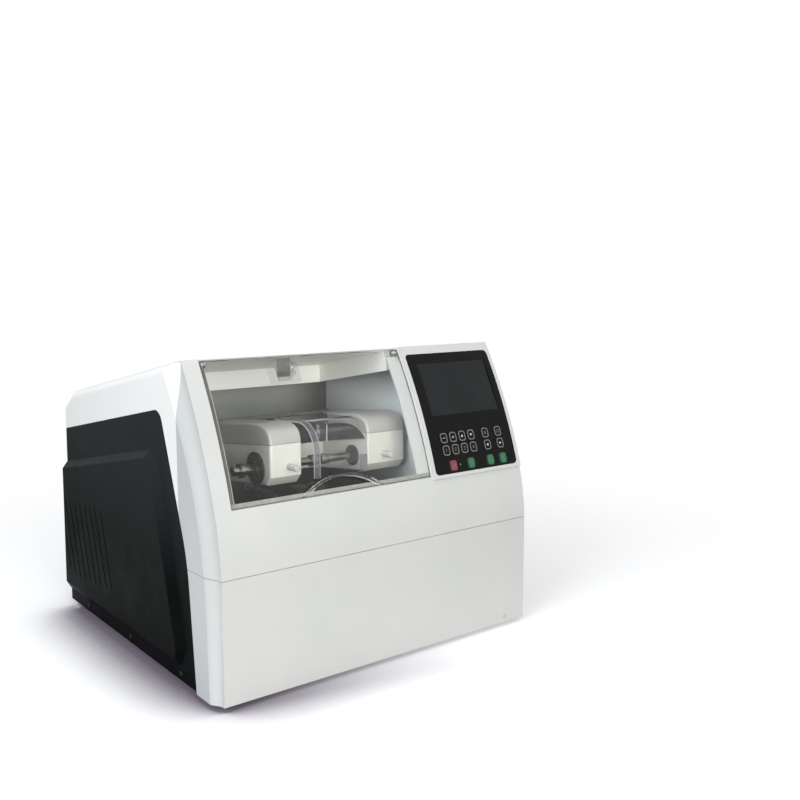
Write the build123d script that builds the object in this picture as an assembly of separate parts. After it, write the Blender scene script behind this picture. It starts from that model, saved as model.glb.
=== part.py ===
from build123d import *
import os
from math import asin, cos, degrees, hypot, radians, sin, sqrt, tan

os.makedirs("parts", exist_ok=True)

# Optical lens edger. Millimetres and degrees. X runs to the right, Y to the back and Z up.
# The values below count Y from the front face and Z from the case's bottom edge;
# HOME moves every piece to the machine's own origin, on the table under the middle of the case.

# ---- Case ----
WIDTH = 592.0  # over the flat white sides
FACE_WIDTH = WIDTH - 20.0  # crisp front face between the two coves
DEPTH = 563.0
FACE_TOP = 467.0  # where the front face meets the roof
FOOT_HEIGHT = 8.0
WALL = 3.0
UPRIGHT = 165.0  # the front face stands upright to here
KNEE_R = 363.0  # then leans back along this arc
KNEE_LEAN = 17.0
BROW_R = 839.0  # and along this one to the roof
ROOF_FALL = 11.1
BEVEL_START = DEPTH - 47.0
BEVEL_FALL = 33.7
REAR_LEAN = 1.7
ROOF_ROUND = 12.0
COVE_LOW = 24.0  # depth of the cove at the bottom edge
COVE_HIGH = 51.0  # and at the top of the face
PARTING = 177.0
PARTING_GAP = 0.6
REAR_INSET = 24.0  # the rear panel stands this far inside the case
REAR_PLATE = 2.0

# ---- Side panels ----
PANEL_FRONT = 64.0
PANEL_LOW = 4.0
PANEL_KNEE = (82.0, 190.0)
PANEL_SHOULDER_Y = 158.0
PANEL_DROP = 62.0  # below the roof line
PANEL_KNEE_R = 300.0
PANEL_CORNER_R = 22.0
PANEL_GAP = 0.3
LIP = 6.0
LIP_PLATE = 2.0
BULGE_RISE = 9.0
BULGE_SLOPE = 15.0
BULGE_FOOT = (105.0, 38.0)
BULGE_SHOULDER = (186.0, 321.0)
BULGE_FALL = 11.5
BULGE_CORNER_R = 14.0
VENT_COUNT = 8
VENT_PITCH = 24.0
VENT_DROP = 2.0  # each slot sits this much lower than the one in front of it
VENT_FIRST_Y = 363.0
VENT_Z = 141.0
VENT_LENGTH = 134.0
VENT_WIDTH = 3.5
VENT_LEAN = 17.0
SHORT_VENT = (546.0, 102.0)  # the last slot, which the rear edge leaves less room
SHORT_VENT_LENGTH = 62.0

# ---- Base ----
BASE_PLATE = 10.0
RIM_WIDTH = 9.0
RIM_HEIGHT = 26.0
SEAT = 0.3  # usual clearance between pieces that sit beside each other
FOOT_R = 17.0
FOOT_X = WIDTH / 2 - 56.0
FOOT_Y = (62.0, DEPTH - 63.0)
PANEL_SCREW_Y = (110.0, 292.0, 473.6)
PANEL_SCREW_Z = 15.7
SCREW_R = 2.0
SCREW_HEAD_R = 3.6
SCREW_HEAD = 1.8
SCREW_LENGTH = 12.0
SCREW_SLOT = 1.0

# ---- Door ----
DOOR_LEFT = 36.0 - WIDTH / 2
DOOR_RIGHT = WIDTH / 2 - 205.5
DOOR_LOW = FACE_TOP - 198.5
DOOR_HIGH = FACE_TOP - 2.5
DOOR_SHEET = 4.0
DOOR_GAP = 0.4
OPENING_LEFT = DOOR_LEFT + 7.0
OPENING_RIGHT = DOOR_RIGHT - 23.5
OPENING_LOW = DOOR_LOW + 7.5
FRAME_WALL = 3.0
HINGE_INSET = 5.5
HINGE_HEIGHT = DOOR_HIGH - 3.5
HINGE_PIN_R = 2.5
HINGE_PIN_LENGTH = 19.0
EAR_R = 5.0
EAR_WIDTH = 9.0
RUN = 0.05  # radial clearance of a running fit
HANDLE_X = (DOOR_LEFT + DOOR_RIGHT) / 2 + 5.75
HANDLE_SPAN = 140.0
HANDLE_RISE = 26.0
HANDLE_STRIP = 4.0
HANDLE_PROUD = 10.0
HANDLE_LOW = DOOR_LOW + 1.0
BLOCK_X = DOOR_LEFT + 134.0
BLOCK_WIDTH = 49.0
BLOCK_LOW = DOOR_HIGH - 34.5
BLOCK_HIGH = DOOR_HIGH - 7.5
BLOCK_DEPTH = 8.0
MAGNET_WIDTH = 21.0
MAGNET_HEIGHT = 22.0
MAGNET_DEPTH = 5.0
WEDGE_LENGTH = 11.0

# ---- Chamber ----
COLLAR_REAR = 300.0
COLLAR_DROP = 30.0
COLLAR_LEFT = OPENING_LEFT - 3.0
COLLAR_RIGHT = OPENING_RIGHT + 3.0
TUB_LEFT = DOOR_LEFT - 6.0
TUB_RIGHT = DOOR_RIGHT + 22.0
TUB_REAR = 343.0
TUB_FLOOR = 138.0
TUB_FRONT = 28.0
TUB_SILL = DOOR_LOW + 2.5
TUB_DROP = 11.0
LEDGE_Z = 339.5
LEDGE_DEPTH = 12.0
LEDGE_THICK = 6.0
WINDOW_LOW = 232.0
WINDOW_HIGH = 300.0

# ---- Console ----
PAD_LEFT = DOOR_RIGHT + 4.5
PAD_LOW = DOOR_LOW - 5.5
PAD_PROUD = 3.0
CONSOLE_LEFT = PAD_LEFT + 5.5
CONSOLE_RIGHT = FACE_WIDTH / 2 - 7.5
CONSOLE_LOW = PAD_LOW + 5.5
CONSOLE_HIGH = FACE_TOP - 13.0
CONSOLE_CORNER = 7.0
CONSOLE_SINK = 2.0  # depth of its recess in the pad
CONSOLE_PROUD = 0.2
SCREEN_X = (CONSOLE_LEFT + CONSOLE_RIGHT) / 2 + 2.5
SCREEN_Z = CONSOLE_HIGH - 55.0
SCREEN_WIDTH = 147.0
SCREEN_HEIGHT = 91.0
SCREEN_INSET = -1.4  # its flat glass, from the front surface
SCREEN_CASE = 9.0
SCREEN_EDGE = 2.5
KEY_WIDTH = 17.4
KEY_HEIGHT = 18.3
KEY_CORNER = 3.0
KEY_GAP = 0.35
KEY_PROUD = 0.5
KEY_TRAVEL = 0.5
KEY_THICK = 3.1
KEY_STEM_R = 3.0
KEY_PITCH = 19.5
KEY_FIRST_X = CONSOLE_LEFT + 29.8
KEY_PAIR_X = (CONSOLE_RIGHT - 58.0, CONSOLE_RIGHT - 29.2)
KEY_ROWS = (CONSOLE_LOW + 54.5, CONSOLE_LOW + 35.5, CONSOLE_LOW + 11.5)
KEY_RED_X = CONSOLE_LEFT + 38.8
KEY_GREEN_X = CONSOLE_LEFT + 77.1
LAMP_X = CONSOLE_LEFT + 53.2
LAMP_R = 1.5
BOARD_INSET = 4.0
BOARD_THICK = 1.6

# ---- Carriage ----
HEAD_FRONT = 95.0
HEAD_BACK = 315.0
HEAD_TOP = 366.8  # these three lines are measured at the heads' front
HEAD_SEAM = 334.0
HEAD_BOTTOM = 272.6
HEAD_TILT = 6.5
HEAD_BROW = 51.0
HEAD_CHAMFER = 12.0
HEAD_ROUND = 4.0
SEAM_GAP = 0.5
LEFT_HEAD = (TUB_LEFT + 113.0, TUB_LEFT + 168.0)
RIGHT_HEAD = (TUB_RIGHT - 87.5, TUB_RIGHT - 13.0)
LENS_AXIS = (136.7, 293.5)
PIVOT_AXIS = (388.0, 265.0)
PIVOT_R = 8.0
ARM_HALF = 18.0
LEFT_ARM = (LEFT_HEAD[0] + 13.0, LEFT_HEAD[1] - 14.0)
RIGHT_ARM = (RIGHT_HEAD[0] + 23.0, RIGHT_HEAD[1] - 19.5)
BEAM_FRONT = 225.0
BEAM_BACK = 255.0
BEAM_LOW = 262.0
BEAM_HIGH = 318.0
PEG_R = 5.0
PEG_LENGTH = 25.0
PEG_Z = 299.0
PEG_X = (LEFT_HEAD[0] + 32.0, RIGHT_HEAD[0] + 31.0)
TRAVERSE = (-50.0, 8.0)  # travel of the carriage to the left and to the right
LENS_SHAFT_R = 6.0
BEARING_FLANGE_R = 25.0
SEAL_FLANGE_R = 16.5
FLANGE_THICK = 3.0
LOOSE = 0.5  # radial clearance where a shaft only passes
STUB_END = LEFT_HEAD[0] - 41.0
STUB_STEPS = ((7.0, 0.0, 8.0), (11.0, 11.0, 17.0), (8.0, 17.0, 24.0))  # radius, start, end
LENS_PLANE = (LEFT_HEAD[1] + RIGHT_HEAD[0]) / 2 - 6.5
CHUCK_R = 9.0
CHUCK_LENGTH = 15.0
PAD_THICK = 3.5
PAD_R = 7.0
QUILL_R = 12.0
QUILL_LENGTH = 34.0
CLAMP_TRAVEL = 30.0

# ---- Splash guard ----
GUARD_LEFT = LEFT_HEAD[1] + 20.0
GUARD_RIGHT = RIGHT_HEAD[0] - 4.0
GUARD_FRONT = HEAD_FRONT - 4.5
GUARD_BOTTOM = 275.0
GUARD_ROUND = 46.0
GUARD_TOP = 358.5
GUARD_SHEET = 3.0
GUARD_PIVOT = (214.0, 348.5)
GUARD_KNUCKLE_R = 5.0
GUARD_ROD_R = 2.0
BRACKET_LOW = 305.0
BRACKET_CORNER_R = 14.0
BRACKET_SCREWS = ((0.0, 312.0), (174.0, 318.0))  # x, z on the plate, then y, z on its cheek
CHEEK_TIP = (102.0, 325.0)  # the cheek's front end, in y and z
CHEEK_ARC = ((121.0, 338.0), (150.0, 344.0), (203.0, 339.5))
BRACKET_PLATE = 4.0
BRACKET_EAR = 3.0

# ---- Slide ----
ROD_R = 8.0
ROD_Y = 430.0
ROD_Z = (300.0, 230.0)
ROD_LEFT = -240.0
ROD_RIGHT = 222.0
PEDESTAL_THICK = 12.0
PEDESTAL_LEFT = -236.0
PEDESTAL_RIGHT = 206.0
PEDESTAL_DEPTH = 50.0
PEDESTAL_WAIST = 150.0
BLOCK_LEFT_X = LEFT_ARM[1] + 8.0
BLOCK_RIGHT_X = RIGHT_ARM[0] - 8.0
SLIDE_DEPTH = 44.0
SLIDE_MARGIN = 25.0
EAR_THICK = 16.0
SCREW_SPINDLE_R = 5.0
STEPPER_SIZE = 57.0
STEPPER_LENGTH = 54.0

# ---- Grinding drive ----
WHEEL_AXIS = (150.0, 203.0)
WHEEL_R = 50.0
WHEEL_LEFT = -83.0
WHEEL_WIDTHS = (18.0, 17.0, 17.0)
BEVEL_GROOVE = 3.0
SPINDLE_R = 10.0
HOUSING_R = 28.0
HOUSING_LEFT = -25.0
HOUSING_RIGHT = 188.0
SHOULDER_R = 20.0
SHOULDER_WIDTH = 5.0
NUT_R = 16.0
NUT_WIDTH = 12.0
PULLEY_LEFT = 195.0
PULLEY_WIDTH = 16.0
PULLEY_R = 30.0
PULLEY_RIM = 2.0
BELT_THICK = 3.0
BELT_WIDTH = 11.0
MOTOR_AXIS = (300.0, 71.0)
MOTOR_R = 50.0
MOTOR_LEFT = 20.0
MOTOR_RIGHT = 178.0
MOTOR_SHAFT_R = 9.0
MOTOR_BORE = 40.0  # how far the shaft goes in
MOTOR_BOX = 16.0  # the wiring box stands this far out at the back
NOZZLE_X = -57.0
NOZZLE_R = 4.0
NOZZLE_Z = 217.0

# ---- Rear ----
LOUVRE_COUNT = 6
LOUVRE_LOW = 250.0
LOUVRE_PITCH = 12.0
LOUVRE_HEIGHT = 4.0
LOUVRE_WIDTH = 120.0
DRAIN_X = TUB_LEFT + 66.0
DRAIN_Y = 300.0
DRAIN_R = 12.0
DRAIN_WALL = 2.5
DRAIN_Z = 92.0
WATER_X = DRAIN_X + 60.0
WATER_R = 6.0
WATER_WALL = 2.0
WATER_Z = 92.0
SPIGOT_LENGTH = 18.0  # with its flange
SPIGOT_FLANGE = 3.0
SPIGOT_RIM = 5.0
NECK = 0.5  # the pipe inside is this much slimmer than its spigot
INLET_X = WIDTH / 2 - 106.0
INLET_Z = 62.0
INLET_WIDTH = 30.0
INLET_HEIGHT = 54.0
INLET_DEPTH = 30.0
INLET_FLANGE = 4.0
INLET_LIP = 3.0
SOCKET_DROP = 13.0  # below the inlet's middle
SOCKET_HALF = (12.0, 8.0)
SOCKET_DEPTH = 18.0
SOCKET_PINS = ((-7.0, -2.0), (7.0, -2.0), (0.0, 3.0))
ROCKER_LIFT = 14.0  # above the inlet's middle
ROCKER_HALF = 8.6
ROCKER_WIDTH = 12.0
ROCKER_R = 4.5
ROCKER_PIVOT_R = 1.5
ROCKER_PIVOT_LENGTH = 1.5
ROCKER_TILT = 8.0  # it rests tilted this far to its off side

# ---- Electrics on the base ----
SUPPLY_SPAN = (-160.0, -20.0, DEPTH - 178.0, DEPTH - 58.0)  # left, right, front, back
SUPPLY_HEIGHT = 42.0
BOARD_SPAN = (20.0, 180.0, DEPTH - 173.0, DEPTH - 63.0)
BOARD_POST = 12.0
BOARD_PARTS = (  # x, y on the board, width, depth and height of each large component
    (30, 30, 30, 30, 4),
    (80, 40, 26, 18, 12),
    (130, 30, 22, 34, 22),
    (70, 90, 90, 12, 10),
)

HOME = Location((0, -DEPTH / 2, FOOT_HEIGHT))

# ---- Worked-out lines of the case ----
KNEE_TOP = UPRIGHT + KNEE_R * sin(radians(KNEE_LEAN))
BROW_Y = KNEE_R + (BROW_R - KNEE_R) * cos(radians(KNEE_LEAN))
BROW_Z = UPRIGHT - (BROW_R - KNEE_R) * sin(radians(KNEE_LEAN))
FACE_TOP_Y = BROW_Y - sqrt(BROW_R**2 - (FACE_TOP - BROW_Z) ** 2)


def keep(node, shape):
    """Write one piece at its place on the machine."""
    export_step(HOME * shape, f"parts/{node}.step")


def block(x0, x1, y0, y1, z0, z1):
    """A box between two corners."""
    middle = Pos((x0 + x1) / 2, (y0 + y1) / 2, (z0 + z1) / 2)
    return middle * Box(x1 - x0, y1 - y0, z1 - z0)


def prism(outline, x0, x1):
    """A (y, z) outline drawn out along X."""
    return extrude(Plane.YZ.offset(x0) * make_face(outline), x1 - x0)


def polygon(*points):
    return Polyline(*points, close=True)


def rod(radius, x0, x1, axis):
    """A round bar along X about an axis at (y, z)."""
    return extrude(Plane.YZ.offset(x0) * Pos(*axis) * Circle(radius), x1 - x0)


def roof_height(y):
    """Height of the roof's outer face."""
    return FACE_TOP - (y - FACE_TOP_Y) * tan(radians(ROOF_FALL))


def front_point(lean, inset=0.0):
    """(y, z) on the front surface where it leans back by this angle."""
    if lean <= KNEE_LEAN:
        radius, y, z = KNEE_R, KNEE_R, UPRIGHT
    else:
        radius, y, z = BROW_R, BROW_Y, BROW_Z
    turn = radians(lean)
    return (y - (radius - inset) * cos(turn), z + (radius - inset) * sin(turn))


def lean_at(z):
    """How far the front surface leans back at a height."""
    if z <= UPRIGHT:
        return 0.0
    if z <= KNEE_TOP:
        return degrees(asin((z - UPRIGHT) / KNEE_R))
    return degrees(asin((z - BROW_Z) / BROW_R))


def front_curve(start, end, inset):
    """Arcs of the front surface between two leans."""
    stops = [start, end]
    if start < KNEE_LEAN < end:
        stops.insert(1, KNEE_LEAN)
    arcs = []
    for a, b in zip(stops, stops[1:]):
        points = [front_point(lean, inset) for lean in (a, (a + b) / 2, b)]
        arcs.append(ThreePointArc(*points))
    return arcs


def skin(x0, x1, low, high, outer, inner):
    """A plate that follows the front surface, between two heights and two insets."""
    start, end = lean_at(low), lean_at(high)
    edges = front_curve(start, end, outer) + front_curve(start, end, inner)
    for lean in (start, end):
        edges.append(Line(front_point(lean, outer), front_point(lean, inner)))
    return prism(edges, x0, x1)


def front_plane(x, z, inset=0.0):
    """A plane that touches the front surface, facing outwards, with its Y up the slope."""
    lean = lean_at(z)
    y, height = front_point(lean, inset)
    outwards = (0, -cos(radians(lean)), sin(radians(lean)))
    return Plane(origin=(x, y, height), x_dir=(1, 0, 0), z_dir=outwards)


def meet(p, fall_p, q, fall_q):
    """Where two lines cross, each given by a point and its fall towards the back."""
    ty, tz = cos(radians(fall_p)), -sin(radians(fall_p))
    uy, uz = cos(radians(fall_q)), -sin(radians(fall_q))
    along = ((q[0] - p[0]) * uz - (q[1] - p[1]) * uy) / (ty * uz - tz * uy)
    return (p[0] + along * ty, p[1] + along * tz)


def lowered(point, fall, inset):
    """A point moved inwards, square to a line that falls towards the back."""
    return (point[0] - inset * sin(radians(fall)), point[1] - inset * cos(radians(fall)))


def case_profile(inset, rear_out, floor):
    """Side outline of the case, moved inwards; rear_out pushes the rear line outwards."""
    roof = lowered((FACE_TOP_Y, FACE_TOP), ROOF_FALL, inset)
    bevel = lowered((BEVEL_START, roof_height(BEVEL_START)), BEVEL_FALL, inset)
    rear = (DEPTH + rear_out, PANEL_LOW)
    turn = radians(ROOF_FALL)
    away_y, away_z = roof[0] - BROW_Y, roof[1] - BROW_Z
    half_b = away_y * cos(turn) - away_z * sin(turn)
    rest = away_y**2 + away_z**2 - (BROW_R - inset) ** 2
    along = -half_b - sqrt(half_b**2 - rest)
    top = (roof[0] + along * cos(turn), roof[1] - along * sin(turn))
    top_lean = degrees(asin((top[1] - BROW_Z) / (BROW_R - inset)))
    shoulder = meet(roof, ROOF_FALL, bevel, BEVEL_FALL)
    tail = meet(bevel, BEVEL_FALL, rear, 90 - REAR_LEAN)
    heel = meet((0.0, floor), 0.0, rear, 90 - REAR_LEAN)
    arcs = front_curve(0.0, top_lean, inset)
    crest = front_point(top_lean, inset)
    lines = Polyline(crest, shoulder, tail, heel, (inset, floor), (inset, UPRIGHT))
    return [*arcs, lines]


def cove(side, inset):
    """The hollow that is cut from a front corner, from the face's edge to the flat side."""
    sections = []
    for z in (-20.0, UPRIGHT, KNEE_TOP, 0.8 * FACE_TOP, FACE_TOP + 15.0):
        face_y = front_point(lean_at(z))[0]
        depth = COVE_LOW + (COVE_HIGH - COVE_LOW) * max(z, 0.0) / FACE_TOP
        start = (FACE_WIDTH / 2 - inset, face_y + inset)
        end = (WIDTH / 2 - inset + 0.4, face_y + inset + depth)
        curve = Spline(start, end, tangents=[(0, 1), (0.1, 1)])
        far_x, far_y = WIDTH / 2 + 30, face_y - 40
        outside = Polyline(end, (far_x, end[1]), (far_x, far_y), (start[0], far_y), start)
        sections.append(Pos(0, 0, z) * make_face([curve, outside]))
    cut = loft(sections)
    return cut if side > 0 else mirror(cut, Plane.YZ)


def case(inset=0.0, rear_out=0.0, floor=0.0):
    """The case's whole outer form, moved inwards by an inset."""
    half = WIDTH / 2 - inset
    body = prism(case_profile(inset, rear_out, floor), -half, half)
    straight = body.edges().filter_by(GeomType.LINE)
    at_side = straight.filter_by(lambda e: abs(abs(e.center().X) - half) < 0.01)
    roof_edges = at_side.filter_by(lambda e: e.center().Z > FACE_TOP / 2 and abs(e.tangent_at(0).Y) > 0.5)
    body = fillet(roof_edges, ROOF_ROUND - inset)
    for side in (-1, 1):
        body -= cove(side, inset)
    return body


def panel_outline(grow=0.0):
    """Outline of a side panel; its front and top edges move outwards by grow."""
    drop = PANEL_DROP - grow
    slope = (PANEL_KNEE[0] - PANEL_FRONT) / (PANEL_KNEE[1] - PANEL_LOW)
    shoulder = (PANEL_SHOULDER_Y - grow, roof_height(PANEL_SHOULDER_Y) - drop)
    foot = (PANEL_FRONT - grow, PANEL_LOW)
    knee = (PANEL_FRONT + slope * (PANEL_KNEE[1] - PANEL_LOW) - grow, PANEL_KNEE[1])
    heel = (DEPTH, PANEL_LOW)
    tail = meet(heel, 90 - REAR_LEAN, shoulder, ROOF_FALL)
    radii = [0, PANEL_KNEE_R, PANEL_CORNER_R, 0, 0]
    return FilletPolyline(foot, knee, shoulder, tail, heel, radius=radii, close=True)


def bulge_outline(grow):
    """Outline of the panel's bulge; the rear edge stays, the other three move out by grow."""
    foot = (BULGE_FOOT[0] - grow, BULGE_FOOT[1] - grow)
    shoulder = (BULGE_SHOULDER[0] - grow, BULGE_SHOULDER[1] + grow)
    rear = (DEPTH, PANEL_LOW)
    tail = meet(rear, 90 - REAR_LEAN, shoulder, BULGE_FALL)
    heel = meet(rear, 90 - REAR_LEAN, foot, 0.0)
    corner = BULGE_CORNER_R + grow
    return FilletPolyline(foot, shoulder, tail, heel, radius=[corner, corner, 0, 0], close=True)


def bulge(base_x):
    """The raised form of a right side panel, from the plane at base_x outwards."""
    base = Plane.YZ.offset(base_x) * make_face(bulge_outline(BULGE_SLOPE))
    crown = Plane.YZ.offset(base_x + BULGE_RISE) * make_face(bulge_outline(0.0))
    return loft([base, crown], ruled=True)


def vents(x0, x1):
    """The row of leaning vent slots, with the short one at its end."""
    slots = []
    for i in range(VENT_COUNT):
        slots.append((VENT_FIRST_Y + i * VENT_PITCH, VENT_Z - i * VENT_DROP, VENT_LENGTH))
    slots.append((*SHORT_VENT, SHORT_VENT_LENGTH))
    cuts = []
    for y, z, length in slots:
        slot = Pos(y, z) * Rot(0, 0, 90 - VENT_LEAN) * SlotOverall(length, VENT_WIDTH)
        cuts.append(extrude(Plane.YZ.offset(x0) * slot, x1 - x0))
    return cuts


def screw_holes(x0, x1, radius):
    """Bores for the side panels' screws, on one side."""
    return [rod(radius, x0, x1, (y, PANEL_SCREW_Z)) for y in PANEL_SCREW_Y]


def side_panel(side):
    """A moulded black side panel, with its lip behind the white covers."""
    outer = WIDTH / 2
    inner = outer - WALL
    back = inner - LIP_PLATE
    plate = prism(panel_outline(), inner, outer)
    ring = prism(panel_outline(LIP), back, inner) - prism(panel_outline(-LIP), back, inner)
    keep_above = block(0, WIDTH, 0, DEPTH, PANEL_LOW, FACE_TOP)
    panel = plate + (ring & keep_above) + bulge(outer) - bulge(inner)
    far = outer + BULGE_RISE + 1
    for cut in vents(inner - 1, far) + screw_holes(back - 1, far, SCREW_R + SEAT):
        panel -= cut
    return panel if side > 0 else mirror(panel, Plane.YZ)


def hinge_axis():
    """(y, z) of the door's hinge."""
    return front_point(lean_at(HINGE_HEIGHT), HINGE_INSET)


def hinge_sweep():
    """Radius of the space that the door's top edge turns in."""
    axis_y, axis_z = hinge_axis()
    corner_y, corner_z = front_point(lean_at(DOOR_HIGH))
    return hypot(corner_y - axis_y, corner_z - axis_z) + 2 * DOOR_GAP


def collar():
    """The skirt that hangs from the roof around the chamber's mouth."""
    reach = COLLAR_REAR + WALL
    back = (reach, roof_height(reach) - WALL)
    front = (FACE_TOP_Y + 8, roof_height(FACE_TOP_Y + 8) - WALL)
    drop = COLLAR_DROP
    outer = polygon(front, back, (back[0], back[1] - drop), (front[0] - 16, front[1] - drop))
    inner = polygon(
        (front[0] - 60, roof_height(front[0] - 60) + 9),
        (COLLAR_REAR, roof_height(COLLAR_REAR) + 9),
        (COLLAR_REAR, back[1] - 2 * drop),
        (front[0] - 60, front[1] - 2 * drop),
    )
    return prism(outer, COLLAR_LEFT - WALL, COLLAR_RIGHT + WALL) - prism(inner, COLLAR_LEFT, COLLAR_RIGHT)


def key_places():
    """Name, x and z of each key."""
    top, middle, low = KEY_ROWS
    row = [KEY_FIRST_X + i * KEY_PITCH for i in range(4)]
    names = ("minus", "plus", "up", "down")
    places = [(f"key_{name}", x, top) for name, x in zip(names, row)]
    places += [(f"key_digit_{i + 1}", x, middle) for i, x in enumerate(row)]
    places += [(f"key_menu_{i + 1}", x, top) for i, x in enumerate(KEY_PAIR_X)]
    places += [(f"key_side_{i + 1}", x, middle) for i, x in enumerate(KEY_PAIR_X)]
    places += [("key_red_stop", KEY_RED_X, low), ("key_green_1", KEY_GREEN_X, low)]
    places += [(f"key_green_{i + 2}", x, low) for i, x in enumerate(KEY_PAIR_X)]
    return places


def console_face():
    return -(PAD_PROUD + CONSOLE_PROUD)


def console_windows(key_margin, screen_margin):
    """Openings for the screen and, as one, for all the keys."""
    left = KEY_FIRST_X - KEY_WIDTH / 2 - key_margin
    right = KEY_PAIR_X[1] + KEY_WIDTH / 2 + key_margin
    low = KEY_ROWS[2] - KEY_HEIGHT / 2 - 1.0
    high = KEY_ROWS[0] + KEY_HEIGHT / 2 + key_margin
    keys = skin(left, right, low, high, -12.0, 12.0)
    return keys + screen_block(screen_margin, -12.0, 30.0)


def screen_block(margin, front, back):
    """The screen's rectangle between two depths behind the front surface."""
    plate = RectangleRounded(SCREEN_WIDTH + 2 * margin, SCREEN_HEIGHT + 2 * margin, 2.0 + margin)
    return extrude(front_plane(SCREEN_X, SCREEN_Z, back) * plate, back - front)


def upper_cover():
    """The white moulded cover: front frame, sides, roof, console pad and chamber collar."""
    cover = case() - case(WALL, 60.0, -10.0)
    cover &= block(-WIDTH, WIDTH, -50, DEPTH + 50, PARTING + PARTING_GAP / 2, FACE_TOP + 50)
    for side in (-1, 1):
        cut = prism(panel_outline(PANEL_GAP), WIDTH / 2 - 20, WIDTH)
        cover -= cut if side > 0 else mirror(cut, Plane.YZ)
    pad = skin(PAD_LEFT, FACE_WIDTH / 2, PAD_LOW, FACE_TOP, -PAD_PROUD, WALL / 2)
    cover += pad
    pocket = DOOR_SHEET + DOOR_GAP
    left, right = DOOR_LEFT - DOOR_GAP, DOOR_RIGHT + DOOR_GAP
    frame_low, frame_high = DOOR_LOW - DOOR_GAP - FRAME_WALL, HINGE_HEIGHT
    frame_left, frame_right = left - FRAME_WALL, right + FRAME_WALL
    cover += skin(frame_left, frame_right, frame_low, frame_high, WALL / 2, pocket + FRAME_WALL)
    cover += collar()
    axis = hinge_axis()
    for x0, x1 in ((left - 14, left), (right, right + 14)):
        cover += rod(EAR_R + 1, x0, x1, axis)
    cover -= skin(left, right, DOOR_LOW - DOOR_GAP, FACE_TOP + 5, -20.0, pocket)
    cover -= skin(OPENING_LEFT, OPENING_RIGHT, OPENING_LOW, HINGE_HEIGHT, -20.0, 40.0)
    cover -= block(left, right, FACE_TOP_Y - 20, axis[0], axis[1], FACE_TOP + 20)
    cover -= rod(hinge_sweep(), left, right, axis)
    cover -= rod(HINGE_PIN_R, DOOR_LEFT - 12, DOOR_RIGHT + 12, axis)
    recess = skin(
        CONSOLE_LEFT - PANEL_GAP,
        CONSOLE_RIGHT + PANEL_GAP,
        CONSOLE_LOW - PANEL_GAP,
        CONSOLE_HIGH + PANEL_GAP,
        -12.0,
        CONSOLE_SINK - PAD_PROUD,
    )
    cover -= round_corners(recess, CONSOLE_CORNER + PANEL_GAP)
    cover -= console_windows(4.0, PANEL_GAP)
    return cover


def round_corners(plate, radius):
    """Round the four corners of a plate that follows the front surface."""
    corners = plate.edges().filter_by(GeomType.LINE).filter_by(lambda e: abs(e.tangent_at(0).X) < 0.5)
    return fillet(corners, radius)


def lower_front_cover():
    """The white cover under the parting line, with its strips round to the side panels."""
    cover = case() - case(WALL, 60.0, -10.0)
    cover &= block(-WIDTH, WIDTH, -50, PANEL_KNEE[0] + 10, 0, PARTING - PARTING_GAP / 2)
    grown = prism(panel_outline(PANEL_GAP), -WIDTH, WIDTH)
    low = block(-WIDTH, WIDTH, PANEL_FRONT - PANEL_GAP, DEPTH, -10, PANEL_LOW)
    return cover - grown - low


def base_casting():
    """The machine's bed: a plate with a rim, and two pedestals for the guide rods."""
    inset = WALL + LIP_PLATE + SEAT
    rear = DEPTH - REAR_INSET
    form = case(inset) & block(-WIDTH, WIDTH, 0, rear, 0, RIM_HEIGHT)
    side = WIDTH / 2 - inset - RIM_WIDTH
    front = COVE_LOW + RIM_WIDTH
    bed = form - block(-side, side, front, rear - RIM_WIDTH, BASE_PLATE, FACE_TOP)
    for x in (PEDESTAL_LEFT, PEDESTAL_RIGHT):
        top = ROD_Z[0] + ROD_R + 14
        half = PEDESTAL_DEPTH / 2
        foot = PEDESTAL_DEPTH
        outline = polygon(
            (ROD_Y - foot, BASE_PLATE / 2),
            (ROD_Y + foot, BASE_PLATE / 2),
            (ROD_Y + half, PEDESTAL_WAIST),
            (ROD_Y + half, top),
            (ROD_Y - half, top),
            (ROD_Y - half, PEDESTAL_WAIST),
        )
        bed += prism(outline, x, x + PEDESTAL_THICK)
    for z in ROD_Z:
        bed -= rod(ROD_R, ROD_LEFT, ROD_RIGHT, (ROD_Y, z))
    bed -= rod(SCREW_SPINDLE_R + LOOSE, ROD_LEFT, ROD_RIGHT, (ROD_Y, sum(ROD_Z) / 2))
    outer = WIDTH / 2
    for cut in screw_holes(outer - SCREW_LENGTH, outer, SCREW_R):
        bed -= cut
        bed -= mirror(cut, Plane.YZ)
    return bed


def rubber_feet():
    feet = []
    for x in (-FOOT_X, FOOT_X):
        for y in FOOT_Y:
            foot = Pos(x, y, -FOOT_HEIGHT / 2) * Cone(FOOT_R * 0.85, FOOT_R, FOOT_HEIGHT)
            foot -= Pos(x, y, -FOOT_HEIGHT) * Cylinder(FOOT_R * 0.35, FOOT_HEIGHT)
            feet.append(foot)
    return Compound(feet)


def panel_screws():
    screws = []
    outer = WIDTH / 2
    for side in (-1, 1):
        for y in PANEL_SCREW_Y:
            axis = (y, PANEL_SCREW_Z)
            screw = rod(SCREW_R, outer - SCREW_LENGTH, outer, axis)
            screw += rod(SCREW_HEAD_R, outer, outer + SCREW_HEAD, axis)
            low, high = PANEL_SCREW_Z - SCREW_SLOT / 2, PANEL_SCREW_Z + SCREW_SLOT / 2
            screw -= block(outer + SCREW_HEAD / 2, outer + 9, y - 9, y + 9, low, high)
            screws.append(screw if side > 0 else mirror(screw, Plane.YZ))
    return Compound(screws)


def rear_y():
    return DEPTH - REAR_INSET


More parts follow.
